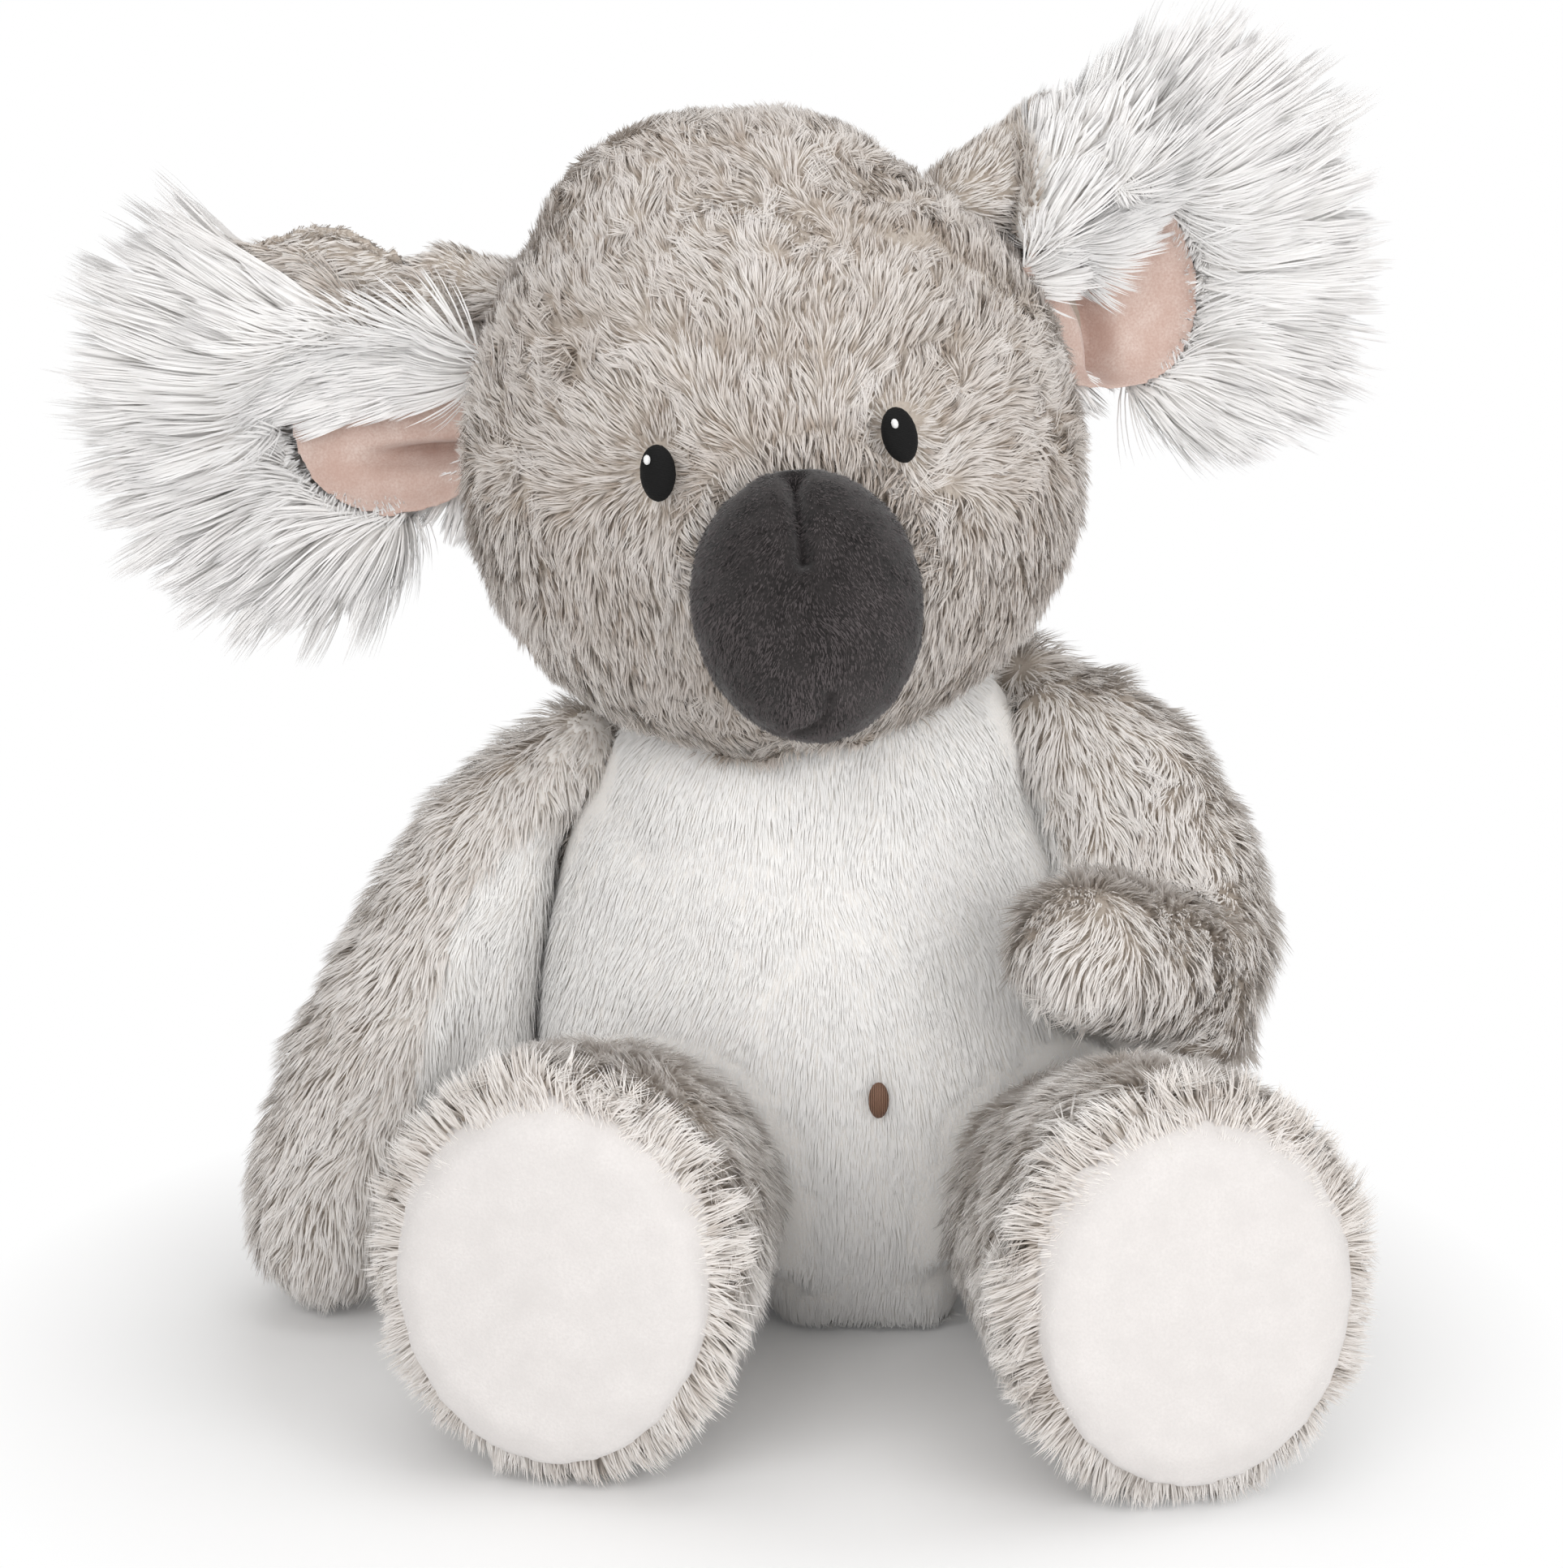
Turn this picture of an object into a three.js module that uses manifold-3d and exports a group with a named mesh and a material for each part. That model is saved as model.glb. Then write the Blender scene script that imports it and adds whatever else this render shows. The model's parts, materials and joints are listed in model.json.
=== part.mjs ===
// Plush koala, seated: sewn plush skins over fibre filling, in millimetres, +Z up.
// It faces -Y, and the origin is the middle of the seat on the ground.
// Left and right are those of someone who looks at its face.

import * as THREE from 'three'
import { mergeVertices } from 'three/addons/utils/BufferGeometryUtils.js'
import Module from 'manifold-3d'

const wasm = await Module()
wasm.setup()

// Shared sizes
const seamGap = 0.3
const turningGap = 0.6
const roomGap = 1.1
const plushThickness = 6
const flatDepth = 0.5
const cutOverrun = 20

// Torso
const torsoWidth = 176
const torsoDepth = 124
const torsoHeight = 170
const torsoBaseRound = 34
const torsoTopRound = 34
const torsoLeanAngle = 6
const sideSeamForward = 6
const buttonWidth = 5.5
const buttonHeight = 10
const buttonThickness = 5
const buttonRise = 71
const buttonOffset = 11

// Neck and head
const neckRadius = 34
const neckForward = 8
const neckHeight = 164
const neckOffset = 2
const headWidth = 170
const headDepth = 154
const headHeight = 172
const headRise = 74
const headForward = 10
const headTiltAngle = 8.4
const headYawAngle = 4.2
const muzzleSwellHeight = 7
const cheekSwellHeight = 4
const browSwellHeight = 3
const noseWidth = 58
const noseHeight = 69
const noseDepth = 52
const noseDrop = 23
const noseSwellHeight = 2.4
const eyeWidth = 9.5
const eyeHeight = 15
const eyeThickness = 6
const eyeSpacing = 61
const eyeOffset = -1.2
const eyeRise = 13.5
const eyeLeanAngle = 7
const glintOffset = 1.7
const glintRise = 4.2
const glintWidth = 1.8
const glintHeight = 2.6
const glintThickness = 2

// Ears
const earRootRise = 29
const earRootBack = 8
const earSweepAngleLeft = 12
const earSweepAngleRight = 25
const earDroopAngleLeft = 6
const earDroopAngleRight = -1
const earBackWidth = 74
const earBackHeight = 84
const earBackDepth = 24
const earBackRise = 9
const earFurWidth = 98
const earFurHeight = 118
const earFurDepth = 22
const earFurReach = 50
const earFurDrop = 3
const earLiningWidth = 50
const earLiningHeight = 50
const earLiningDepth = 18
const earLiningReach = 19
const earLiningDrop = 6
const liningThickness = 2.5

// Arms
const shoulderRise = 158
const shoulderSpreadShare = 0.9
const innerPanelShare = 0.55
const pawRadius = 27.5
const armLeftSpread = 67
const armLeftForward = 28
const armRightSpread = 42
const armRightForward = 76
const armRightDrop = 68

// Legs
const hipSpacing = 94
const hipForward = 24
const hipTwistDepth = 7
const legLength = 153
const legSplayAngle = 13
const footWidth = 98
const footHeight = 114
const soleWidth = 82
const soleHeight = 104
const soleRise = 60
const soleThickness = 6
const footRound = 13
const heelRound = 24

// Ranges of the seams that bend, in degrees from the seated pose
const headTurnRange = [-30, 30]
const headNodRange = [-6, 6]
const earFlapRange = [-15, 15]
const legStops = [-4, 0, 5, 10, 15]
const armStops = [0, 15, 30, 45]

// Numbers of rings and points in the skins
const torsoRingCount = 16
const limbRingCount = 13
const limbPointCount = 16
const torsoPointCount = 24
const solePointCount = 24
const innerRingCount = 8
const innerPointCount = 12
const headDetailCount = 6
const innerDetailCount = 3
const smallDetailCount = 4
const trimDetailCount = 3
const glintDetailCount = 1
const facePassCount = 6

// Directions of the swells and of the inner sides of the arms, and spreads in degrees
const muzzleDirection = [0, -0.95, -0.31]
const cheekDirection = [0.8, -0.4, -0.45]
const browDirection = [0.4, -0.8, 0.45]
const noseTipDirection = [0, -0.6, -0.8]
const muzzleSpreadAngle = 31
const cheekSpreadAngle = 29
const browSpreadAngle = 20
const noseSpreadAngle = 52
const armLeftInward = [0.82, -0.5, 0.1]
const armRightInward = [-0.5, 0.1, -0.86]

const degree = Math.PI / 180
const up = new THREE.Vector3(0, 0, 1)
const front = new THREE.Vector3(0, -1, 0)
const right = new THREE.Vector3(1, 0, 0)

// The fabrics
const plushGrey = new THREE.MeshStandardMaterial({ color: 0xbdb5ae, roughness: 0.95, metalness: 0 })
const plushWhite = new THREE.MeshStandardMaterial({ color: 0xf2f0ec, roughness: 0.95, metalness: 0 })
const longFur = new THREE.MeshStandardMaterial({ color: 0xf4f2f0, roughness: 0.9, metalness: 0 })
const soleVelour = new THREE.MeshStandardMaterial({ color: 0xf3efed, roughness: 0.95, metalness: 0 })
const noseVelour = new THREE.MeshStandardMaterial({ color: 0x565051, roughness: 0.85, metalness: 0 })
const earVelour = new THREE.MeshStandardMaterial({ color: 0xefd3c6, roughness: 0.9, metalness: 0 })
const eyeThread = new THREE.MeshStandardMaterial({ color: 0x0c0b0c, roughness: 0.4, metalness: 0 })
const glintThread = new THREE.MeshStandardMaterial({ color: 0xffffff, roughness: 0.4, metalness: 0 })
const buttonThread = new THREE.MeshStandardMaterial({ color: 0x8a6a58, roughness: 0.7, metalness: 0 })
const fibreFilling = new THREE.MeshStandardMaterial({ color: 0xe9e7e2, roughness: 1, metalness: 0 })

// A geometry whose faces share their corners
function joined(geometry) {
  geometry.deleteAttribute('normal')
  geometry.deleteAttribute('uv')
  return mergeVertices(geometry)
}

// A solid of a joined geometry, and the geometry of a solid
function solidOf(geometry) {
  const vertProperties = new Float32Array(geometry.attributes.position.array)
  const triVerts = new Uint32Array(geometry.index.array)
  return new wasm.Manifold(new wasm.Mesh({ numProp: 3, vertProperties, triVerts }))
}

function geometryOf(solid) {
  const { vertProperties, triVerts } = solid.getMesh()
  const geometry = new THREE.BufferGeometry()
  geometry.setAttribute('position', new THREE.BufferAttribute(vertProperties, 3))
  geometry.setIndex(new THREE.BufferAttribute(triVerts, 1))
  geometry.computeVertexNormals()
  return geometry
}

// Values between hand-picked rows, on a smooth curve through them
function between(rows, share) {
  const last = rows.length - 1
  const at = THREE.MathUtils.clamp(share, 0, 1) * last
  const start = Math.min(Math.floor(at), last - 1)
  const rest = at - start
  const pick = (index) => rows[THREE.MathUtils.clamp(index, 0, last)]
  return rows[start].map((value, column) => {
    const before = pick(start - 1)[column]
    const next = pick(start + 1)[column]
    const after = pick(start + 2)[column]
    const slope = (next - before) / 2
    const nextSlope = (after - value) / 2
    const bend = -3 * value + 3 * next - 2 * slope - nextSlope
    const twist = 2 * value - 2 * next + slope + nextSlope
    return value + slope * rest + bend * rest ** 2 + twist * rest ** 3
  })
}

// How full an oval is at a distance from its rounded end
function endFullness(distance, round, power) {
  if (distance >= round) {
    return 1
  }
  return (1 - (1 - distance / round) ** power) ** (1 / power)
}

// A closed skin of oval rings along a line. A station gives the line's point there, the half size
// of the oval along the direction across, and its other half size. An inset gives the same form
// that much inside the skin.
function ringedSkin(form, inset, ringCount, pointCount) {
  const line = new THREE.CatmullRomCurve3(form.stations.map(([x, y, z]) => new THREE.Vector3(x, y, z)))
  const length = line.getLength()
  const free = length - 2 * inset
  const rings = []
  for (let ring = 0; ring <= ringCount; ring += 1) {
    const distance = free * (1 - Math.cos(Math.PI * ring / ringCount)) / 2
    const reached = THREE.MathUtils.clamp(distance + inset, 0, length)
    const share = line.getUtoTmapping(reached / length)
    const along = line.getTangent(share)
    const centre = line.getPoint(share).addScaledVector(along, distance + inset - reached)
    const sideways = form.across.clone().addScaledVector(along, -form.across.dot(along)).normalize()
    const other = along.clone().cross(sideways)
    const startFull = endFullness(distance, form.startRound - inset, form.startPower)
    const endFull = endFullness(free - distance, form.endRound - inset, form.endPower)
    const [, , , halfSide, halfOther] = between(form.stations, share)
    const full = startFull * endFull
    rings.push({
      centre,
      sideways: sideways.multiplyScalar((halfSide - inset) * full),
      other: other.multiplyScalar((halfOther - inset) * full)
    })
  }
  const positions = [...rings[0].centre.toArray()]
  for (const { centre, sideways, other } of rings.slice(1, -1)) {
    for (let point = 0; point < pointCount; point += 1) {
      const angle = 2 * Math.PI * point / pointCount
      const spot = centre.clone()
      spot.addScaledVector(sideways, Math.cos(angle))
      spot.addScaledVector(other, Math.sin(angle))
      positions.push(...spot.toArray())
    }
  }
  positions.push(...rings[ringCount].centre.toArray())
  const lastPoint = positions.length / 3 - 1
  const faces = []
  const at = (ring, point) => 1 + ring * pointCount + point % pointCount
  for (let point = 0; point < pointCount; point += 1) {
    faces.push(0, at(0, point + 1), at(0, point))
    for (let ring = 0; ring < ringCount - 2; ring += 1) {
      faces.push(at(ring, point), at(ring, point + 1), at(ring + 1, point))
      faces.push(at(ring, point + 1), at(ring + 1, point + 1), at(ring + 1, point))
    }
    faces.push(lastPoint, at(ringCount - 2, point), at(ringCount - 2, point + 1))
  }
  const geometry = new THREE.BufferGeometry()
  geometry.setAttribute('position', new THREE.Float32BufferAttribute(positions, 3))
  geometry.setIndex(faces)
  return solidOf(geometry)
}

// How far swells lift a direction: each gives where it points, its height and how far it spreads
function swellAt(direction, swells) {
  const lifts = swells.map(({ towards, height, spread }) => {
    return height * Math.exp(-((direction.angleTo(towards) / spread) ** 2))
  })
  return lifts.reduce((sum, lift) => sum + lift, 0)
}

// A ball of three half sizes, with swells
function swollenBall(halfSizes, swells, inset, detail) {
  const geometry = joined(new THREE.IcosahedronGeometry(1, detail))
  const places = geometry.attributes.position
  const spot = new THREE.Vector3()
  for (let index = 0; index < places.count; index += 1) {
    spot.fromBufferAttribute(places, index).normalize()
    const reach = swellAt(spot, swells) - inset
    places.setXYZ(
      index,
      spot.x * (halfSizes.x + reach),
      spot.y * (halfSizes.y + reach),
      spot.z * (halfSizes.z + reach)
    )
  }
  return solidOf(geometry)
}

// A block that spans everything on one side of a plane
function halfSpace(centre, normal, reach) {
  const block = joined(new THREE.BoxGeometry(1, 1, 1))
  block.scale(2 * reach, 2 * reach, 2 * reach)
  block.translate(0, 0, reach)
  block.applyQuaternion(new THREE.Quaternion().setFromUnitVectors(up, normal))
  block.translate(centre.x, centre.y, centre.z)
  return solidOf(block)
}

// A solid given in one group's frame, seen from another group's frame
function seenFrom(solid, from, to) {
  from.updateWorldMatrix(true, false)
  to.updateWorldMatrix(true, false)
  const matrix = to.matrixWorld.clone().invert().multiply(from.matrixWorld)
  return solid.transform(matrix.elements)
}

// What is left of a piece that turns about its frame's origin beside a neighbour that stays
function clearOf(piece, neighbour, axis, angles) {
  let left = piece
  for (const angle of angles) {
    const turn = new THREE.Matrix4().makeRotationAxis(axis, -angle * degree)
    left = left.subtract(neighbour.transform(turn.elements))
  }
  return left
}

// The largest of the separate bodies in a solid
function largest(solid) {
  return solid.decompose().reduce((most, body) => body.volume() > most.volume() ? body : most)
}

function addPiece(group, name, solid, material) {
  const mesh = new THREE.Mesh(geometryOf(solid), material)
  mesh.name = name
  group.add(mesh)
}

const koala = new THREE.Group()
const groundReach = torsoHeight + headHeight + legLength
const underGround = halfSpace(new THREE.Vector3(0, 0, 0), up.clone().negate(), groundReach)

// Torso: rows of height, half width, half depth and how far forward its middle is
const torsoRowShares = [
  [0.0, 0.88, 0.92, 0.02],
  [0.2, 0.98, 1.0, 0.05],
  [0.42, 1.0, 0.99, 0.06],
  [0.62, 0.94, 0.92, 0.03],
  [0.82, 0.8, 0.8, 0.0],
  [1.0, 0.74, 0.72, 0.0]
]
const torsoForm = {
  stations: torsoRowShares.map(([rise, side, depth, forward]) => [
    -Math.tan(torsoLeanAngle * degree) * rise * torsoHeight,
    -forward * torsoDepth / 2,
    rise * torsoHeight - (1 - rise) * flatDepth,
    side * torsoWidth / 2,
    depth * torsoDepth / 2
  ]),
  across: right,
  startRound: torsoBaseRound,
  endRound: torsoTopRound,
  startPower: 3.2,
  endPower: 2.2
}
const torsoGroup = new THREE.Group()
koala.add(torsoGroup)
const torsoOutside = ringedSkin(torsoForm, 0, torsoRingCount, torsoPointCount)
const torsoInside = ringedSkin(torsoForm, plushThickness, innerRingCount, innerPointCount)
const torsoFill = ringedSkin(torsoForm, plushThickness + seamGap, innerRingCount, innerPointCount)
const torsoClear = ringedSkin(torsoForm, -seamGap, torsoRingCount, torsoPointCount)

// Neck: it holds the head's frame, which leans with the head
const headGroup = new THREE.Group()
headGroup.position.set(neckOffset - Math.tan(torsoLeanAngle * degree) * neckHeight, -neckForward, neckHeight)
headGroup.rotation.set(0, -headTiltAngle * degree, headYawAngle * degree, 'YZX')
koala.add(headGroup)
const noSwells = []
const neckHalf = new THREE.Vector3(neckRadius, neckRadius, neckRadius)
const neckBall = (extra) => swollenBall(neckHalf, noSwells, -extra, innerDetailCount)

// Head: one ball with a muzzle, two cheeks and two brows
const headCentre = new THREE.Vector3(0, -headForward, headRise)
const headHalf = new THREE.Vector3(headWidth / 2, headDepth / 2, headHeight / 2)
const swell = ([x, y, z], side, height, spread) => {
  return { towards: new THREE.Vector3(side * x, y, z).normalize(), height, spread: spread * degree }
}
const headSwells = [
  swell(muzzleDirection, 1, muzzleSwellHeight, muzzleSpreadAngle),
  ...[-1, 1].flatMap((side) => [
    swell(cheekDirection, side, cheekSwellHeight, cheekSpreadAngle),
    swell(browDirection, side, browSwellHeight, browSpreadAngle)
  ])
]
const headBall = (inset, detail) => {
  const ball = swollenBall(headHalf, headSwells, inset, detail)
  return ball.translate(headCentre.toArray())
}
const headClear = headBall(-seamGap, headDetailCount)

// The room that the head takes up while it turns and nods, with a margin
const headRoom = (margin, detail) => {
  const ball = headBall(-margin, detail)
  return wasm.Manifold.hull(headTurnRange.flatMap((turn) => headNodRange.map((nod) => {
    const turned = new THREE.Matrix4().makeRotationAxis(up, turn * degree)
    const nodded = new THREE.Matrix4().makeRotationAxis(right, nod * degree)
    return ball.transform(turned.multiply(nodded).elements)
  })))
}
const headRoomOutside = headRoom(roomGap, smallDetailCount)
const headRoomInside = headRoom(roomGap + plushThickness, innerDetailCount)
const headRoomFilling = headRoom(roomGap + plushThickness + seamGap, innerDetailCount)
const neckRoom = seenFrom(neckBall(turningGap), headGroup, torsoGroup)

// The torso's skin is a grey back and a white belly, sewn together at the sides
const seamPlane = (offset, normal) => {
  const place = new THREE.Vector3(0, -sideSeamForward - offset, 0)
  return halfSpace(place, normal, groundReach)
}
const torsoHollow = torsoInside.subtract(seenFrom(headRoomInside, headGroup, torsoGroup))
const torsoSkin = torsoOutside
  .subtract(seenFrom(headRoomOutside, headGroup, torsoGroup))
  .subtract(torsoHollow)
  .subtract(neckRoom)
  .subtract(underGround)
const bellyPanel = torsoSkin.intersect(seamPlane(seamGap / 2, front))
const torsoBack = torsoSkin.intersect(seamPlane(-seamGap / 2, front.clone().negate()))
addPiece(torsoGroup, 'torso', torsoBack, plushGrey)
addPiece(torsoGroup, 'belly_panel', bellyPanel, plushWhite)
const torsoStuffing = torsoFill
  .subtract(seenFrom(headRoomFilling, headGroup, torsoGroup))
  .subtract(neckRoom)
addPiece(torsoGroup, 'torso_filling', torsoStuffing, fibreFilling)

// Belly button: an oval of thick stitches, half sunk in the pile
const buttonHalf = new THREE.Vector3(buttonWidth / 2, buttonThickness / 2, buttonHeight / 2)
function onTorsoFront(sideways, rise) {
  const [lean, middle, , halfWidth, halfDepth] = between(torsoForm.stations, rise / torsoHeight)
  const depth = halfDepth * Math.sqrt(1 - (sideways / halfWidth) ** 2)
  return new THREE.Vector3(lean + sideways, middle - depth, rise)
}
const buttonSpot = onTorsoFront(buttonOffset, buttonRise)
const button = swollenBall(buttonHalf, noSwells, 0, trimDetailCount).translate(buttonSpot.toArray())
addPiece(torsoGroup, 'belly_button', button.subtract(torsoClear), buttonThread)

// Head skin and filling, both open at the neck
const neckClear = neckBall(turningGap)
addPiece(headGroup, 'neck', neckBall(0), fibreFilling)
const headSkin = headBall(0, headDetailCount).subtract(headBall(plushThickness, innerDetailCount))
addPiece(headGroup, 'head', headSkin.subtract(neckClear), plushGrey)
const headFill = headBall(plushThickness + seamGap, innerDetailCount)
addPiece(headGroup, 'head_filling', headFill.subtract(neckClear), fibreFilling)

// The place on the head's face at a distance sideways and upwards from its middle
function onFace(sideways, rise) {
  const facing = front.clone()
  let lift = 0
  for (let pass = 0; pass < facePassCount; pass += 1) {
    lift = swellAt(facing, headSwells)
    facing.x = sideways / (headHalf.x + lift)
    facing.z = rise / (headHalf.z + lift)
    facing.y = -Math.sqrt(1 - facing.x ** 2 - facing.z ** 2)
  }
  return new THREE.Vector3(sideways, facing.y * (headHalf.y + lift), rise).add(headCentre)
}

// Nose: a stuffed egg that is wider below, seated on the muzzle
const noseHalf = new THREE.Vector3(noseWidth / 2, noseDepth / 2, noseHeight / 2)
const noseSwells = [swell(noseTipDirection, 1, noseSwellHeight, noseSpreadAngle)]
const nose = swollenBall(noseHalf, noseSwells, 0, smallDetailCount)
const nosePlace = onFace(0, -noseDrop)
addPiece(headGroup, 'nose', nose.translate(nosePlace.toArray()).subtract(headClear), noseVelour)

// Eyes: satin-stitched ovals with a small white glint each
const eyeHalf = new THREE.Vector3(eyeWidth / 2, eyeThickness / 2, eyeHeight / 2)
const glintHalf = new THREE.Vector3(glintWidth / 2, glintThickness / 2, glintHeight / 2)
for (const [name, side] of [['left', -1], ['right', 1]]) {
  const place = onFace(eyeOffset + side * eyeSpacing / 2, eyeRise)
  const outward = place.clone().sub(headCentre).setZ(0).normalize()
  const facing = new THREE.Quaternion().setFromUnitVectors(front, outward)
  const leaning = new THREE.Quaternion().setFromAxisAngle(front, side * eyeLeanAngle * degree)
  const turned = new THREE.Matrix4().compose(place, facing.multiply(leaning), new THREE.Vector3(1, 1, 1))
  const eye = swollenBall(eyeHalf, noSwells, 0, trimDetailCount)
  const eyeClear = swollenBall(eyeHalf, noSwells, -seamGap, trimDetailCount)
  const glint = swollenBall(glintHalf, noSwells, 0, glintDetailCount)
  const glintPlace = glint.translate([-glintOffset, -eyeThickness / 2, glintRise])
  addPiece(headGroup, `eye_${name}`, eye.transform(turned.elements).subtract(headClear), eyeThread)
  const glintSolid = glintPlace.subtract(eyeClear).transform(turned.elements)
  addPiece(headGroup, `eye_glint_${name}`, glintSolid.subtract(headClear), glintThread)
}

// Ears: a plush back, a ring of long fur in front of it and a cupped lining in the ring
const ears = [
  { name: 'left', side: -1, sweep: earSweepAngleLeft, droop: earDroopAngleLeft },
  { name: 'right', side: 1, sweep: earSweepAngleRight, droop: earDroopAngleRight }
]
for (const { name, side, sweep, droop } of ears) {
  const earGroup = new THREE.Group()
  const rootShare = 1 - (earRootRise / headHalf.z) ** 2 - (earRootBack / headHalf.y) ** 2
  const rootSide = headHalf.x * Math.sqrt(rootShare)
  earGroup.position.set(side * rootSide, earRootBack, earRootRise).add(headCentre)
  earGroup.rotation.set(0, side * droop * degree, side * sweep * degree, 'YZX')
  headGroup.add(earGroup)
  const earBall = (width, depth, height, x, y, z, inset, detail) => {
    const half = new THREE.Vector3(width / 2, depth / 2, height / 2)
    return swollenBall(half, noSwells, inset, detail).translate([side * x, y, z])
  }
  const middle = new THREE.Vector3(0, 0, 0)
  const behind = halfSpace(middle, front.clone().negate(), earFurWidth + cutOverrun)
  const backOf = (inset) => {
    const ball = earBall(
      earBackWidth, earBackDepth, earBackHeight,
      earBackWidth / 2 - plushThickness, 0, earBackRise, inset, smallDetailCount
    )
    return ball.intersect(behind.translate([0, seamGap / 2 + inset, 0]))
  }
  const liningBack = -earLiningDepth / 2 - seamGap / 2
  const liningBall = (inset, detail, ahead) => earBall(
    earLiningWidth, earLiningDepth, earLiningHeight,
    earLiningReach, liningBack - ahead, -earLiningDrop, inset, detail
  )
  const fur = earBall(earFurWidth, earFurDepth, earFurHeight, earFurReach, 0, -earFurDrop, 0, smallDetailCount)
  const headBeside = seenFrom(headClear, headGroup, earGroup)
  const beside = (solid) => clearOf(solid, headBeside, up, earFlapRange)
  addPiece(earGroup, `ear_back_${name}`, beside(backOf(0)), plushGrey)
  const furRing = fur.subtract(backOf(-seamGap)).subtract(liningBall(-seamGap, smallDetailCount, 0))
  addPiece(earGroup, `ear_fur_${name}`, beside(furRing), longFur)
  const liningCup = liningBall(0, smallDetailCount, 0).subtract(liningBall(0, smallDetailCount, liningThickness))
  addPiece(earGroup, `ear_lining_${name}`, beside(liningCup), earVelour)
}

// Legs: boots that point forward and outward, closed in front by a sole
const legRowShares = [
  [-0.16, 0.72, 0.66],
  [0.12, 0.76, 0.7],
  [0.4, 0.84, 0.8],
  [0.68, 0.97, 0.95],
  [1.0, 1.0, 1.0]
]
const legForm = {
  stations: legRowShares.map(([forward, side, rise]) => [
    0,
    -forward * legLength,
    rise * footHeight / 2 - flatDepth,
    side * footWidth / 2,
    rise * footHeight / 2
  ]),
  across: right,
  startRound: heelRound,
  endRound: footRound,
  startPower: 2,
  endPower: 2.4
}
const legRooms = []
for (const [name, side] of [['left', -1], ['right', 1]]) {
  const legGroup = new THREE.Group()
  legGroup.position.set(side * hipSpacing / 2, -hipForward - side * hipTwistDepth, 0)
  legGroup.rotation.z = side * legSplayAngle * degree
  koala.add(legGroup)
  const torsoBeside = seenFrom(torsoClear, torsoGroup, legGroup)
  const stops = legStops.map((angle) => side * angle)
  const beside = (solid) => clearOf(solid, torsoBeside, up, stops)
  const outside = beside(ringedSkin(legForm, 0, limbRingCount, limbPointCount)).subtract(underGround)
  const inside = ringedSkin(legForm, plushThickness, innerRingCount, innerPointCount)
  const filling = beside(ringedSkin(legForm, plushThickness + seamGap, innerRingCount, innerPointCount))
  const soleRegion = (extra) => {
    const disc = joined(new THREE.CylinderGeometry(1, 1, 1, solePointCount))
    disc.scale(soleWidth / 2 + extra, soleThickness + footRound, soleHeight / 2 + extra)
    disc.translate(0, -legLength, soleRise)
    return solidOf(disc)
  }
  const skin = outside.subtract(inside)
  addPiece(legGroup, `leg_${name}`, skin.subtract(soleRegion(seamGap)), plushGrey)
  addPiece(legGroup, `sole_${name}`, skin.intersect(soleRegion(0)), soleVelour)
  addPiece(legGroup, `leg_filling_${name}`, filling, fibreFilling)
  const room = (margin, rings, points) => {
    const still = ringedSkin(legForm, -margin, rings, points)
    const splays = stops.map((angle) => new THREE.Matrix4().makeRotationAxis(up, angle * degree))
    return splays.map((splay) => still.transform(splay.elements)).reduce((all, next) => all.add(next))
  }
  legRooms.push({ side, group: legGroup, room })
}

// Arms: rows of spread, forward reach, drop and radius from the shoulder seam to the paw
const armLeftRowShares = [
  [-0.5, 0.0, 0.06, 0.6],
  [0.08, 0.02, 0.05, 0.62],
  [0.38, 0.14, 0.17, 0.7],
  [0.66, 0.4, 0.5, 0.94],
  [0.92, 0.76, 0.82, 1.02],
  [1.0, 1.0, 1.0, 1.0]
]
const armRightRowShares = [
  [-0.7, 0.03, 0.02, 0.62],
  [0.2, 0.03, 0.04, 0.66],
  [0.7, 0.08, 0.28, 0.78],
  [0.98, 0.2, 0.68, 0.96],
  [1.0, 0.48, 0.98, 1.0],
  [0.74, 0.78, 0.92, 0.97],
  [0.34, 1.0, 0.74, 0.88]
]
function armForm(rowShares, side, spread, forward, drop) {
  const stations = rowShares.map(([out, ahead, down, radius]) => [
    side * out * spread,
    -ahead * forward,
    -down * drop,
    radius * pawRadius,
    radius * pawRadius
  ])
  const wrist = new THREE.Vector3(...stations.at(-2))
  const paw = new THREE.Vector3(...stations.at(-1))
  const radius = stations.at(-1)[3]
  const tip = paw.clone().addScaledVector(paw.clone().sub(wrist).normalize(), radius)
  return {
    stations: [...stations, [...tip.toArray(), radius, radius]],
    across: up,
    startRound: radius,
    endRound: radius,
    startPower: 2,
    endPower: 2
  }
}
const arms = [
  {
    name: 'left',
    side: -1,
    rows: armLeftRowShares,
    spread: armLeftSpread,
    forward: armLeftForward,
    dropTo: (shoulder) => shoulder - pawRadius + flatDepth,
    inward: new THREE.Vector3(...armLeftInward)
  },
  {
    name: 'right',
    side: 1,
    rows: armRightRowShares,
    spread: armRightSpread,
    forward: armRightForward,
    dropTo: () => armRightDrop,
    inward: new THREE.Vector3(...armRightInward)
  }
]
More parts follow.
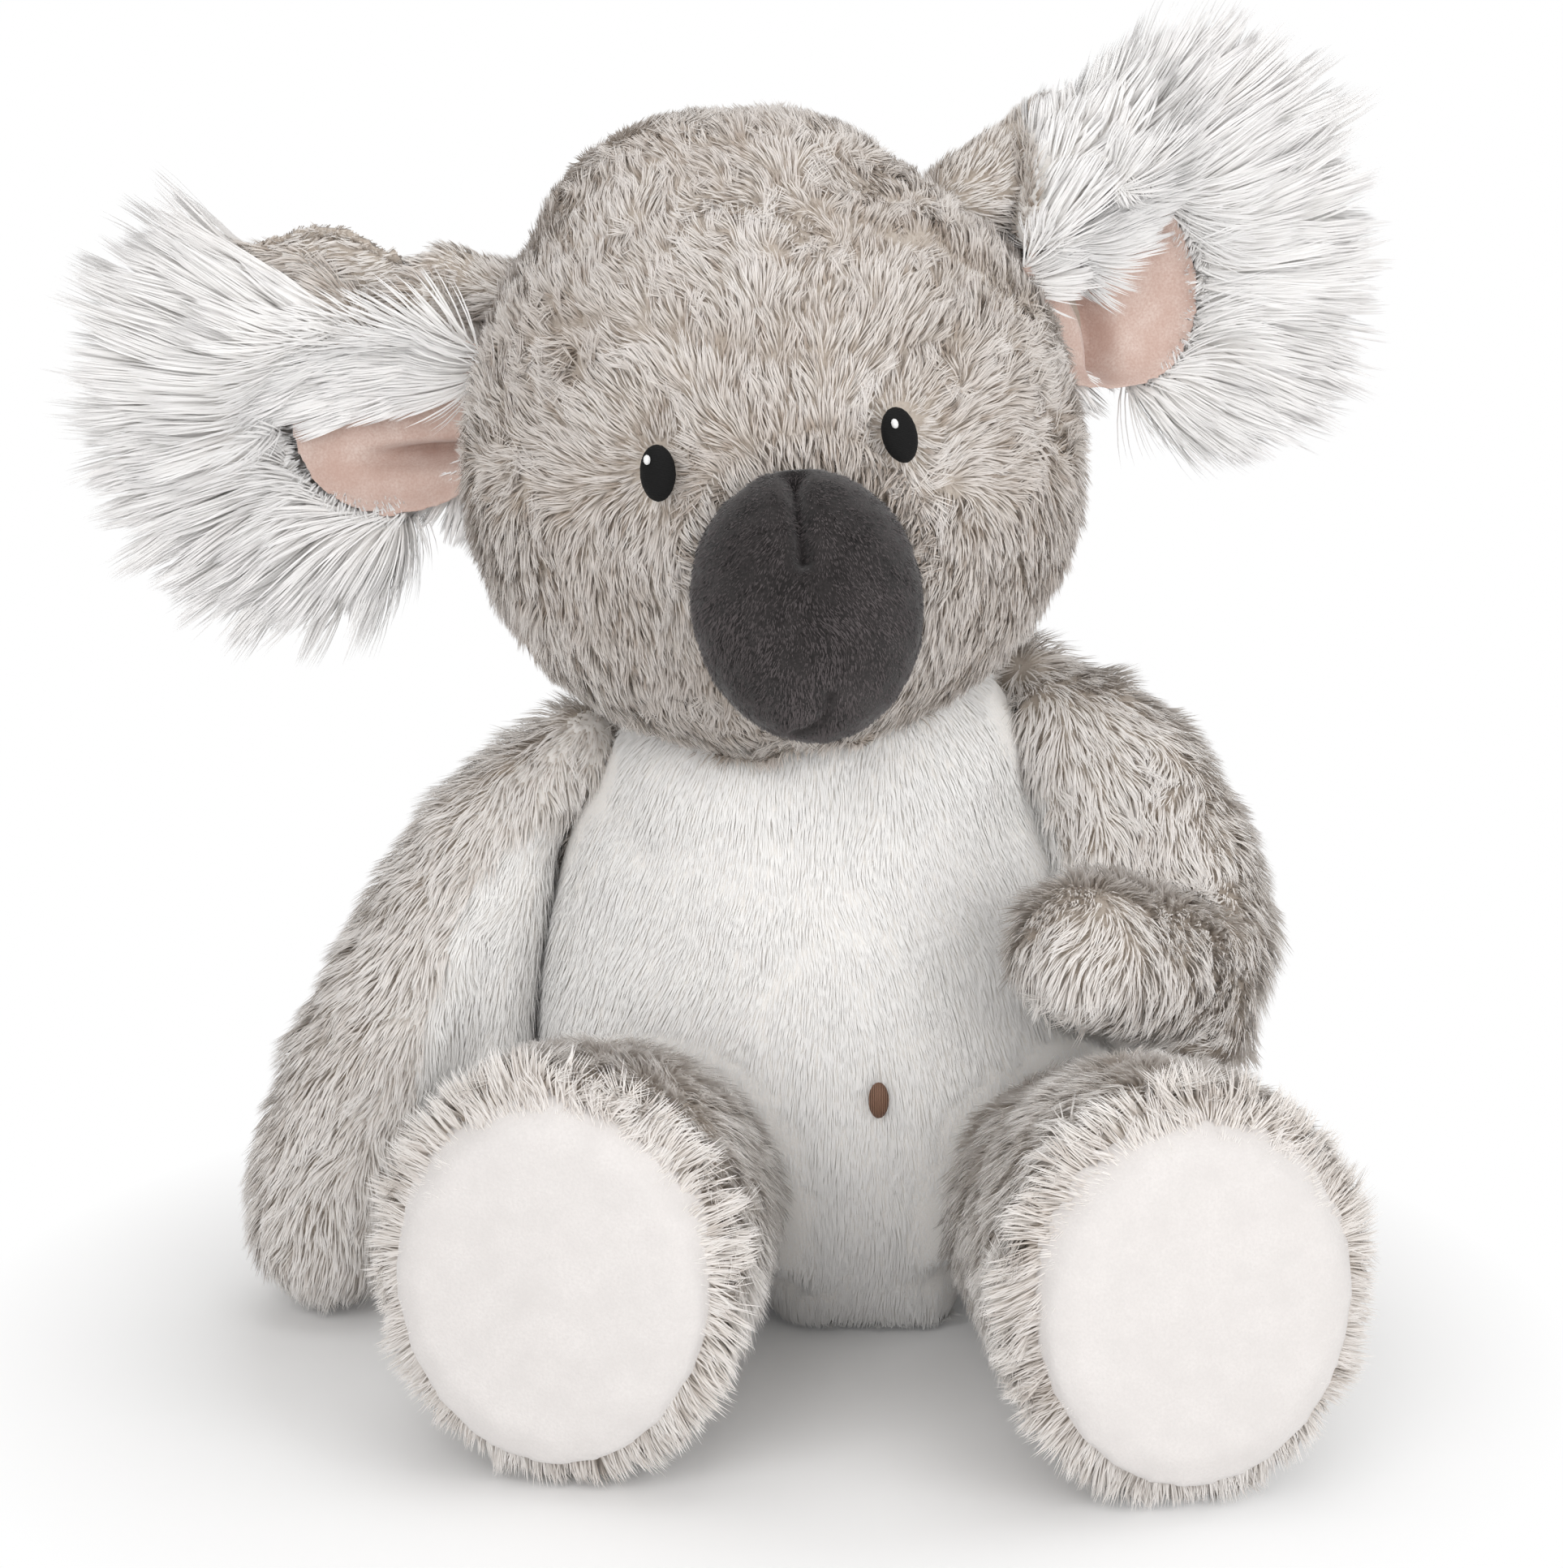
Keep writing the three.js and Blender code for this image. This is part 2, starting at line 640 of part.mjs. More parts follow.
for (const { name, side, rows, spread, forward, dropTo, inward } of arms) {
  const armGroup = new THREE.Group()
  const [middle, , , halfWidth] = between(torsoForm.stations, shoulderRise / torsoHeight)
  const shoulder = shoulderRise + side * halfWidth * Math.sin(torsoLeanAngle * degree)
  armGroup.position.set(middle + side * halfWidth * shoulderSpreadShare, 0, shoulder)
  koala.add(armGroup)
  const form = armForm(rows, side, spread, forward, dropTo(shoulder))
  const raiseAxis = new THREE.Vector3(0, -side, 0)
  const torsoBeside = seenFrom(torsoClear, torsoGroup, armGroup)
  const groundBeside = seenFrom(underGround, koala, armGroup)
  const leg = legRooms.find((entry) => entry.side === side)
  const dented = (solid, headSpace, margin, rings, points) => {
    const headBeside = seenFrom(headSpace, headGroup, armGroup)
    const legBeside = seenFrom(leg.room(turningGap + margin, rings, points), leg.group, armGroup)
    return clearOf(solid, headBeside, raiseAxis, armStops).subtract(legBeside)
  }
  const beside = (solid) => clearOf(solid, torsoBeside, raiseAxis, armStops).subtract(groundBeside)
  const outside = dented(
    ringedSkin(form, 0, limbRingCount, limbPointCount),
    headRoomOutside, 0, limbRingCount, limbPointCount
  )
  const hollow = dented(
    ringedSkin(form, plushThickness, innerRingCount, innerPointCount),
    headRoomInside, plushThickness, innerRingCount, innerPointCount
  )
  const stuffing = dented(
    ringedSkin(form, plushThickness + seamGap, innerRingCount, innerPointCount),
    headRoomFilling, plushThickness + seamGap, innerRingCount, innerPointCount
  )
  const skin = beside(outside).subtract(largest(hollow))
  const wider = 1 + innerPanelShare / 2
  const panelStations = form.stations.map(([x, y, z, halfAcross, halfOther]) => {
    const shift = inward.clone().multiplyScalar(halfAcross * (1 + innerPanelShare))
    return [x + shift.x, y + shift.y, z + shift.z, halfAcross * wider, halfOther * wider]
  })
  const panelForm = { ...form, stations: panelStations }
  const panelRegion = (extra) => ringedSkin(panelForm, -extra, limbRingCount, limbPointCount)
  addPiece(armGroup, `arm_${name}`, largest(skin.subtract(panelRegion(seamGap))), plushGrey)
  addPiece(armGroup, `arm_inner_panel_${name}`, largest(skin.intersect(panelRegion(0))), plushWhite)
  addPiece(armGroup, `arm_filling_${name}`, largest(beside(stuffing)), fibreFilling)
}

export default koala
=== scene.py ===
"""Plush koala, seated: stuffed skins with a combed pile, in metres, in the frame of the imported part."""

import json
import math

import bpy
import numpy as np
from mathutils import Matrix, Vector
from mathutils.bvhtree import BVHTree


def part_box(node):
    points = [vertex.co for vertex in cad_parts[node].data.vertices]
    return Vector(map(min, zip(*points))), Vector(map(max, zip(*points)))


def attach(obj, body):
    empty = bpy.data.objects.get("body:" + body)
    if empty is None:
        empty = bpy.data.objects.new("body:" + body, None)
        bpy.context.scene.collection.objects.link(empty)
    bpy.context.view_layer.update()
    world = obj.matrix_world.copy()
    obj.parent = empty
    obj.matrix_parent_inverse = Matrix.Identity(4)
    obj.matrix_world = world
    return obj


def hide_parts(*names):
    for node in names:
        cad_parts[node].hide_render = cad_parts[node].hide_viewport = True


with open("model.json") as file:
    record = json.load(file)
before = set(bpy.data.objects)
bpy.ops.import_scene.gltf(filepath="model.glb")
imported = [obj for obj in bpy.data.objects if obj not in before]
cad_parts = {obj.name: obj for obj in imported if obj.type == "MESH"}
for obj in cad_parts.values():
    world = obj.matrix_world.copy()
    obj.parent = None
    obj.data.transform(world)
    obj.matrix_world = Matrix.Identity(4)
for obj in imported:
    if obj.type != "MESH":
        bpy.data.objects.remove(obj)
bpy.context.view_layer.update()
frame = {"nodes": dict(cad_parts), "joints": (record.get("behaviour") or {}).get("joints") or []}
NODES = frame["nodes"]
JOINTS = {joint["name"]: joint for joint in frame["joints"]}
MM = 0.001
UP = np.array((0.0, 0.0, 1.0))
FORM_FLOOR, STRAND_FLOOR = 2.5 * MM, 0.2 * MM  # how low a stuffed form and a strand may reach
MOST_TRIANGLES = 190000  # in one piece of pile
PUFF_FRAMES = 20
BODY_DEPTH = 3 * MM  # how deep the backing of body and limbs lies under the solid's outside
LIMB_DENSITY = 1.35  # strands for each square mm
FIBRE = 0.7 * MM  # the finest bundle of fibres that shows
ROOT_DEPTH = 0.8 * MM  # how far strands start inside the backing
PATCH = 9 * MM  # wide soft patches in cloth and in the pile's length
ROOM_SOUGHT, ROOM_FREE = 30 * MM, 9 * MM  # how far a neighbour is looked for, and too far to shorten pile


# Colours, written as sRGB and turned linear
def linear(code):
    parts = [int(code[i:i + 2], 16) / 255 for i in (1, 3, 5)]
    return tuple(p / 12.92 if p <= 0.04045 else ((p + 0.055) / 1.055) ** 2.4 for p in parts) + (1.0,)


# Materials
def add(tree, kind, inputs=(), stops=(), **settings):
    """A node with its settings, its inputs set to values or linked from sockets, and its colour stops."""
    node = tree.nodes.new(kind)
    for key, value in settings.items():
        setattr(node, key, value)
    for key, value in dict(inputs).items():
        if isinstance(value, bpy.types.NodeSocket):
            tree.links.new(value, node.inputs[key])
        else:
            node.inputs[key].default_value = value
    for index, (place, code) in enumerate(stops):
        elements = node.color_ramp.elements
        stop = elements[index] if index < 2 else elements.new(place)
        stop.position = place
        stop.color = linear(code)
    return node


def new_material(name):
    material = bpy.data.materials.new(name)
    material.use_nodes = True
    tree = material.node_tree
    tree.nodes.clear()
    return material, tree


# Cut pile. The place of each strand in the palette gives its tone (U), and the way up it goes from root
# to tip (V), so the eye sees darker roots, paler tips and flecks between the tufts; some light passes
# through the fibres.
def pile_material(name, dark, light, sheen, through=0.12):
    material, tree = new_material(name)
    place = add(tree, "ShaderNodeUVMap", uv_map="OFBake")
    split = add(tree, "ShaderNodeSeparateXYZ", {"Vector": place.outputs["UV"]})
    low = add(tree, "ShaderNodeValToRGB", {"Fac": split.outputs["Y"]}, stops=dark)
    high = add(tree, "ShaderNodeValToRGB", {"Fac": split.outputs["Y"]}, stops=light)
    mixed = add(tree, "ShaderNodeMix", {
        "Factor": split.outputs["X"], 6: low.outputs["Color"], 7: high.outputs["Color"]}, data_type="RGBA")
    front = add(tree, "ShaderNodeBsdfPrincipled", {
        "Base Color": mixed.outputs[2], "Roughness": 0.7, "Specular IOR Level": 0.25,
        "Sheen Weight": sheen, "Sheen Roughness": 0.4})
    behind = add(tree, "ShaderNodeBsdfTranslucent", {"Color": mixed.outputs[2]})
    both = add(tree, "ShaderNodeMixShader", {
        "Fac": through, 1: front.outputs["BSDF"], 2: behind.outputs["BSDF"]})
    add(tree, "ShaderNodeOutputMaterial", {"Surface": both.outputs["Shader"]})
    return material


# Knitted backing and short velour: wide soft patches in the colour, and a grain of loops or cut ends in
# the bump, so it stays matt with a soft bright edge.
def cloth_material(name, dark, light, grain_mm, sheen=0.3, strength=0.35):
    material, tree = new_material(name)
    place = add(tree, "ShaderNodeTexCoord").outputs["Object"]
    patches = add(tree, "ShaderNodeTexNoise", {"Vector": place, "Scale": 1 / PATCH, "Detail": 3.0})
    grain = add(tree, "ShaderNodeTexNoise", {"Vector": place, "Scale": 1 / (grain_mm * MM), "Detail": 2.0})
    both = add(tree, "ShaderNodeMath", {
        0: patches.outputs["Fac"], 1: grain.outputs["Fac"], 2: 0.12}, operation="MULTIPLY_ADD")
    colour = add(tree, "ShaderNodeValToRGB", {"Fac": both.outputs["Value"]},
                 stops=((0.25, dark), (0.55, light)))
    bump = add(tree, "ShaderNodeBump", {
        "Height": grain.outputs["Fac"], "Strength": strength, "Distance": grain_mm * MM * 0.3})
    shader = add(tree, "ShaderNodeBsdfPrincipled", {
        "Base Color": colour.outputs["Color"], "Roughness": 0.9, "Normal": bump.outputs["Normal"],
        "Sheen Weight": sheen, "Sheen Roughness": 0.5, "Specular IOR Level": 0.2})
    add(tree, "ShaderNodeOutputMaterial", {"Surface": shader.outputs["BSDF"]})
    return material


# Machine satin stitch: threads side by side across the patch, each a small ridge, so it has a faint
# stripe and a soft shine across the threads. The colour follows the bump: painted highlight on each
# ridge and painted shade in the grooves between.
def thread_material(name, dark, light, thread_mm, angle, roughness):
    material, tree = new_material(name)
    place = add(tree, "ShaderNodeTexCoord").outputs["Object"]
    turned = add(tree, "ShaderNodeMapping", {"Vector": place, "Rotation": (0.0, math.radians(angle), 0.0)})
    waves = add(tree, "ShaderNodeTexWave", {
        "Vector": turned.outputs["Vector"], "Scale": 1 / (thread_mm * MM) * math.pi / 10,
        "Distortion": 0.8, "Detail": 1.0, "Detail Scale": 2.0,
    }, wave_type="BANDS", bands_direction="Z")
    # Painted highlight and painted shade: lighter colour on the ridge tops, darker in the grooves
    colour = add(tree, "ShaderNodeValToRGB", {"Fac": waves.outputs["Fac"]}, stops=((0.1, dark), (0.9, light)))
    bump = add(tree, "ShaderNodeBump", {
        "Height": waves.outputs["Fac"], "Strength": 0.5, "Distance": thread_mm * MM * 0.5})
    shader = add(tree, "ShaderNodeBsdfPrincipled", {
        "Base Color": colour.outputs["Color"], "Roughness": roughness, "Normal": bump.outputs["Normal"],
        "Specular IOR Level": 0.3})
    add(tree, "ShaderNodeOutputMaterial", {"Surface": shader.outputs["BSDF"]})
    return material


GREY_BACKING = cloth_material("grey_knitted_backing", "#b3a79b", "#c6bdb3", 0.8)
WHITE_BACKING = cloth_material("white_knitted_backing", "#f8f5f1", "#fdfbf8", 0.8)
SOLE_VELOUR = cloth_material("sole_short_pile_velour", "#dad6d4", "#e2dedc", 0.7, sheen=0.4, strength=0.5)
NOSE_VELOUR = cloth_material("nose_short_pile_velour", "#1f1c1c", "#383434", 0.7, strength=0.6)
EAR_VELOUR = cloth_material("ear_lining_velour", "#c7a99d", "#dac7be", 0.6, sheen=0.5, strength=0.4)
EYE_THREAD = thread_material("eye_satin_stitch", "#020202", "#0a0a0b", 0.35, 8, 0.75)
GLINT_THREAD = thread_material("glint_satin_stitch", "#e9e9e9", "#ffffff", 0.3, 0, 0.4)
BUTTON_THREAD = thread_material("button_satin_stitch", "#5e4235", "#9c7a66", 0.5, 90, 0.6)
GREY_PILE = pile_material(
    "grey_cut_pile",
    ((0.0, "#9f9082"), (0.35, "#b5a799"), (0.75, "#c8bcb2"), (1.0, "#d4cbc3")),
    ((0.0, "#d6ccc2"), (0.3, "#ede7e1"), (0.75, "#fbf8f5"), (1.0, "#fefcfb")),
    0.3,
)
WHITE_PILE = pile_material(
    "white_cut_pile",
    ((0.0, "#f6f2ee"), (0.4, "#fbf9f6"), (1.0, "#fdfcfa")),
    ((0.0, "#fdfbf9"), (0.4, "#fffefc"), (1.0, "#ffffff")),
    0.1, through=0.0,
)
# The dark side ends in grey tips, which mostly carry the painted shade among the tips round the upper rim
LONG_PILE = pile_material(
    "long_ear_pile",
    ((0.0, "#f3efec"), (0.5, "#f7f4f3"), (0.75, "#d9d5d3"), (1.0, "#a19d9e")),
    ((0.0, "#fbf8f5"), (0.6, "#fffefd"), (1.0, "#fbfafa")),
    0.1, through=0.1,
)
NOSE_PILE = pile_material(
    "nose_short_cut_pile",
    ((0.0, "#100e0e"), (1.0, "#231f1f")),
    ((0.0, "#454041"), (1.0, "#7c7475")),
    0.5,
)


# Noise on points, all of it from whole-number hashes, so each run gives the same pile
def hashed(cells, seed):
    """A number from 0 to 1 for each whole-numbered cell."""
    c = cells.astype(np.int64).astype(np.uint32)
    h = (c[:, 0] * np.uint32(73856093)) ^ (c[:, 1] * np.uint32(19349663))
    h ^= (c[:, 2] * np.uint32(83492791)) ^ np.uint32((seed * 2654435761) & 0xFFFFFFFF)
    for shift, factor in ((16, 0x7FEB352D), (15, 0x846CA68B), (16, 1)):
        h ^= h >> np.uint32(shift)
        h *= np.uint32(factor)
    return h / 2.0 ** 32


def noise(points, size, seed):
    """Smooth noise from -1 to 1 with features of that size."""
    at = points / size
    cell = np.floor(at)
    t = at - cell
    t = t * t * (3 - 2 * t)
    total = np.zeros(len(points))
    for corner in np.ndindex(2, 2, 2):
        weight = np.prod(np.where(np.array(corner) == 1, t, 1 - t), axis=1)
        total += weight * hashed(cell + corner, seed)
    return total * 2 - 1


def noise3(points, size, seed):
    return np.stack([noise(points, size, seed + k) for k in (0, 1, 2)], axis=1)


def tufts(points, size, seed):
    """The nearest tuft's middle and its own random number, for each point."""
    cell = np.floor(points / size)
    best = np.full(len(points), 1e9)
    middle = points.copy()
    number = np.zeros(len(points))
    for step in np.ndindex(3, 3, 3):
        other = cell + np.array(step) - 1
        spot = (other + np.stack([hashed(other, seed + k) for k in (0, 1, 2)], axis=1)) * size
        far = ((spot - points) ** 2).sum(axis=1)
        nearer = far < best
        best[nearer] = far[nearer]
        middle[nearer] = spot[nearer]
        number[nearer] = hashed(other[nearer], seed + 3)
    return middle, number


def unit(vectors):
    return vectors / np.maximum(np.linalg.norm(vectors, axis=-1, keepdims=True), 1e-9)


def flat_on(vectors, normals):
    return vectors - normals * (vectors * normals).sum(axis=-1, keepdims=True)


# Meshes in and out
def corners_of(obj):
    mesh = obj.data
    mesh.calc_loop_triangles()
    points = np.empty(len(mesh.vertices) * 3, np.float32)
    mesh.vertices.foreach_get("co", points)
    triangles = np.empty(len(mesh.loop_triangles) * 3, np.int32)
    mesh.loop_triangles.foreach_get("vertices", triangles)
    return points.reshape(-1, 3).astype(float), triangles.reshape(-1, 3)


def normals_of(obj):
    normals = np.empty(len(obj.data.vertices) * 3, np.float32)
    obj.data.vertices.foreach_get("normal", normals)
    return normals.reshape(-1, 3).astype(float)


def link(obj):
    bpy.context.scene.collection.objects.link(obj)


def set_points(obj, points):
    obj.data.vertices.foreach_set("co", points.astype(np.float32).ravel())
    obj.data.update()


def tree_of(names):
    """A search tree over the solids of these CAD nodes, and the name that each face belongs to."""
    points, faces, owners = [], [], []
    for name in names:
        spots, triangles = corners_of(NODES[name])
        faces += (triangles + len(points)).tolist()
        points += spots.tolist()
        owners += [name] * len(triangles)
    return BVHTree.FromPolygons(points, faces), owners


def only(obj):
    bpy.ops.object.select_all(action="DESELECT")
    obj.select_set(True)
    bpy.context.view_layer.objects.active = obj


def join_all(obj, others):
    """Joins the others, if there are any, into the object."""
    only(obj)
    for other in others:
        other.select_set(True)
    if others:
        bpy.ops.object.join()


def modify(obj, kind, **settings):
    """Adds a modifier and applies it."""
    modifier = obj.modifiers.new(kind.title(), kind)
    for key, value in settings.items():
        setattr(modifier, key, value)
    only(obj)
    bpy.ops.object.modifier_apply(modifier=modifier.name)


def copy_of(names, new_name):
    """One new object from copies of CAD nodes."""
    made = []
    for name in names:
        twin = NODES[name].copy()
        twin.data = NODES[name].data.copy()
        for key in list(twin.keys()):
            del twin[key]
        twin.parent = None
        twin.data.materials.clear()
        link(twin)
        made.append(twin)
    join_all(made[0], made[1:])
    made[0].name = new_name
    made[0].data.name = new_name
    return made[0]


def largest_shell(obj):
    """Keeps only the outer shell, the one with the most faces."""
    only(obj)
    bpy.ops.object.mode_set(mode="EDIT")
    bpy.ops.mesh.select_all(action="SELECT")
    bpy.ops.mesh.separate(type="LOOSE")
    bpy.ops.object.mode_set(mode="OBJECT")
    parts = sorted(bpy.context.selected_objects, key=lambda o: -len(o.data.polygons))
    name = obj.name
    for part in parts[1:]:
        bpy.data.objects.remove(part)
    parts[0].name = name
    return parts[0]


def puff(obj, most, pressure=4.0):
    """Cloth under pressure fills the skin out, and no point moves further than the most."""
    before, _ = corners_of(obj)
    cloth = obj.modifiers.new("Cloth", "CLOTH")
    cloth.settings.quality = 4
    cloth.settings.use_pressure = True
    cloth.settings.uniform_pressure_force = pressure
    cloth.settings.effector_weights.gravity = 0.0
    cloth.settings.tension_stiffness = 20
    cloth.settings.compression_stiffness = 20
    cloth.point_cache.frame_start = 1
    cloth.point_cache.frame_end = PUFF_FRAMES
    for step in range(1, PUFF_FRAMES + 1):
        bpy.context.scene.frame_set(step)
    only(obj)
    bpy.ops.object.modifier_apply(modifier=cloth.name)
    bpy.context.scene.frame_set(1)
    after, _ = corners_of(obj)
    move = after - before
    far = np.linalg.norm(move, axis=1, keepdims=True)
    set_points(obj, before + move * np.minimum(1, most / np.maximum(far, 1e-9)))


def bulge(start, end, radius):
    """A rounded filling between two points, in mm, to join to a form before it is remeshed."""
    start, end = Vector(start) * MM, Vector(end) * MM
    balls = []
    steps = max(2, int((end - start).length / (radius * MM * 0.4)) + 1)
    for step in range(steps):
        bpy.ops.mesh.primitive_ico_sphere_add(
            subdivisions=3, radius=radius * MM, location=start.lerp(end, step / (steps - 1)))
        bpy.ops.object.transform_apply(location=True, rotation=True, scale=True)
        balls.append(bpy.context.object)
    return balls


def stuffed(name, nodes, body, depth, voxel=4 * MM, swell=1.5 * MM, extra=()):
    """A stuffed form from CAD solids: their joint outside, this deep under it, filled out as cloth."""
    balls = [ball for ends in extra for ball in bulge(*ends)]
    obj = copy_of(nodes, name)
    join_all(obj, balls)
    modify(obj, "REMESH", mode="VOXEL", voxel_size=voxel, use_smooth_shade=True)
    obj = largest_shell(obj)
    modify(obj, "SMOOTH", factor=0.5, iterations=6)
    for _ in range(3):
        modify(obj, "DISPLACE", strength=-(depth + swell) / 3, mid_level=0.0)
        modify(obj, "SMOOTH", factor=0.5, iterations=1)
    puff(obj, swell * 2)
    modify(obj, "SMOOTH", factor=0.5, iterations=2)
    points, _ = corners_of(obj)
    points[:, 2] = np.maximum(points[:, 2], FORM_FLOOR)
    set_points(obj, points)
    bpy.ops.object.shade_smooth()
    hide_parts(*[n for n in nodes if "filling" in n or n == "neck"])
    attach(obj, body)
    return obj


# The pile
class Skin:
    """The outside of a stuffed form, with the CAD piece that each of its triangles belongs to."""

    def __init__(self, obj, pieces, beside=()):
        self.points, self.triangles = corners_of(obj)
        self.normals = normals_of(obj)
        tree, owners = tree_of(pieces)
        self.faces = np.array([triangle.polygon_index for triangle in obj.data.loop_triangles])
        middles = self.points[self.triangles].mean(axis=1)
        self.owner = np.array([owners[tree.find_nearest(Vector(m))[2]] for m in middles])
        self.room = np.full(len(self.points), 1.0)
        if beside:
            tree, _ = tree_of(beside)
            for index, point in enumerate(self.points):
                near = tree.find_nearest(Vector(point), ROOM_SOUGHT)
                self.room[index] = near[3] if near[0] is not None else ROOM_SOUGHT

    def roots(self, owner, per_mm2, seed, keep=None):
        """Places, normals and free room of strand roots on one piece, evenly by area."""
        rng = np.random.default_rng(seed)
        chosen = self.triangles[self.owner == owner]
        a, b, c = (self.points[chosen[:, k]] for k in (0, 1, 2))
        area = np.linalg.norm(np.cross(b - a, c - a), axis=1) / 2
        count = int(area.sum() / MM ** 2 * per_mm2)
        pick = chosen[rng.choice(len(chosen), count, p=area / area.sum())]
        u = rng.random((count, 2))
        flip = u.sum(axis=1) > 1
        u[flip] = 1 - u[flip]
        shares = np.stack([1 - u.sum(axis=1), u[:, 0], u[:, 1]], axis=1)[:, :, None]
        places = (self.points[pick] * shares).sum(axis=1)
        normals = unit((self.normals[pick] * shares).sum(axis=1))
        room = (self.room[pick] * shares[:, :, 0]).sum(axis=1)
        if keep is not None:
            kept = keep(places)
            places, normals, room = places[kept], normals[kept], room[kept]
        return places, normals, room


def lay_cloth(obj, skin, main, node, other):
    """The main backing all over the form, and the other one under the piece of that node."""
    obj.data.materials.append(main)
    obj.data.materials.append(other)
    slots = np.zeros(len(obj.data.polygons), np.int32)
    slots[skin.faces[skin.owner == node]] = 1
    obj.data.polygons.foreach_set("material_index", slots)


def grow(places, normals, comb, length, lean, clump, tuft, joints, seed, wild, flat, ruffle):
    """Strand points. Each strand leans from the normal towards the comb direction, more towards its
    tip. Strands of one clump draw together, and clumps of one tuft do so a little: clump and tuft are
    their sizes in mm and how far they draw in. Tufts lean apart by the ruffle, in degrees."""
    flow = unit(flat_on(comb, normals)) if flat else unit(comb)
    flow = unit(flow - normals * np.minimum((flow * normals).sum(axis=1, keepdims=True), 0))
    near, _ = tufts(places, clump[0] * MM, seed)
    middle, number = tufts(places, tuft[0] * MM, seed + 5)
    gather = clump[1] * flat_on(near - places, normals) + tuft[1] * flat_on(middle - places, normals)
    stray = noise3(places, FIBRE, seed + 11)
    tilt = (number - 0.5) * ruffle
    points = [places - normals * ROOT_DEPTH]
    shares = np.linspace(0, 1, joints + 1)[1:]
    at = points[0]
    for share in shares:
        angle = np.radians(np.clip(lean[0] + (lean[1] - lean[0]) * share + tilt, 4, 86))[:, None]
        way = normals * np.cos(angle) + flow * np.sin(angle) + stray * wild
        at = at + unit(way) * (length / joints)[:, None]
        points.append(at + gather * share ** 1.3)
    return np.stack(points, axis=1)


def strands(name, body, points, normals, width, tone, material, replaced, seed, turn, front):
    """Tapering ribbons along the strand points, as pieces of no more than the most triangles."""
    count, rows = points.shape[:2]
    rng = np.random.default_rng(seed)
    along = unit(points[:, -1] - points[:, 0])
    roll = (rng.random(count) - 0.5) * turn
    across = unit(np.cross(along, normals))
    other = np.cross(across, along)
    side = across * np.cos(roll)[:, None] + other * np.sin(roll)[:, None]
    face = np.cross(side, along)
    outward = normals if front is None else unit(normals * 0.4 + front)
    inward = (face * outward).sum(axis=1) < 0
    side[inward] *= -1
    face[inward] *= -1
    soft = unit(outward + face * 0.3 * (turn > 1))
    points[:, :, 2] = np.maximum(points[:, :, 2], STRAND_FLOOR)
    most = MOST_TRIANGLES // (2 * rows - 3)
    parts = max(1, math.ceil(count / most))
    spread = normals[:, 0] + 1e-3 * rng.random(count)
    groups = np.array_split(np.argsort(spread), parts)
    for index, group in enumerate(groups):
        n = len(group)
        taper = [1.0 - 0.55 * (row / (rows - 1)) ** 1.5 for row in range(rows - 1)]
        left = [points[group, row] - side[group] * width * t / 2 for row, t in enumerate(taper)]
        right = [points[group, row] + side[group] * width * t / 2 for row, t in enumerate(taper)]
        ring = np.stack([v for pair in zip(left, right) for v in pair] + [points[group, -1]], axis=1)
        per = ring.shape[1]
        first = np.arange(n)[:, None] * per
        quads = [[2 * r, 2 * r + 1, 2 * r + 3, 2 * r + 2] for r in range(rows - 2)]
        corner = [i for q in quads for i in q] + [per - 3, per - 2, per - 1]
        loops = (first + np.array(corner)).ravel()
        sizes = np.tile([4] * len(quads) + [3], n)
        mesh = bpy.data.meshes.new(f"{name}_{index + 1}" if parts > 1 else name)
        mesh.vertices.add(n * per)
        mesh.vertices.foreach_set("co", ring.astype(np.float32).ravel())
        mesh.loops.add(len(loops))
        mesh.loops.foreach_set("vertex_index", loops.astype(np.int32))
        mesh.polygons.add(len(sizes))
        mesh.polygons.foreach_set("loop_start", (np.cumsum(sizes) - sizes).astype(np.int32))
        mesh.polygons.foreach_set("use_smooth", np.ones(len(sizes), bool))
        up_way = [r / (rows - 1) for r in range(rows - 1) for _ in (0, 1)] + [1.0]
        shift = [-0.004 if k % 2 == 0 else 0.004 for k in range(per - 1)] + [0.0]
        u = 0.01 + 0.98 * np.clip(tone[group], 0, 1)[:, None] + np.array(shift)[corner]
        v = np.broadcast_to(0.01 + 0.98 * np.array(up_way)[corner], u.shape)
        palette = np.stack([np.clip(u, 0.001, 0.999), v], axis=2)
        layer = mesh.uv_layers.new(name="OFBake")
        layer.data.foreach_set("uv", palette.astype(np.float32).ravel())
        pile = mesh.attributes.new("custom_normal", "FLOAT_VECTOR", "POINT")
        pile.data.foreach_set("vector", np.repeat(soft[group], per, axis=0).astype(np.float32).ravel())
        mesh.update()
        mesh.materials.append(material)
        obj = bpy.data.objects.new(mesh.name, mesh)
        link(obj)
        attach(obj, body)
        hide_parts(*replaced)


def mottle(places, seed, clump_mm, patch, fleck, base):
    """Tone of grey pile: wide soft patches, and flecks as wide as a clump of strands."""
    wide = noise(places, 15 * MM, seed + 6) + 0.6 * noise(places, 6 * MM, seed + 7)
    _, own = tufts(places, clump_mm * MM, seed)
    _, fine = tufts(places, FIBRE, seed + 3)
    dark = own < 0.22 - 0.12 * wide
    return base + patch * 0.5 * wide + 0.3 * fleck * (own - 0.5) - fleck * dark + 0.22 * (fine - 0.5)


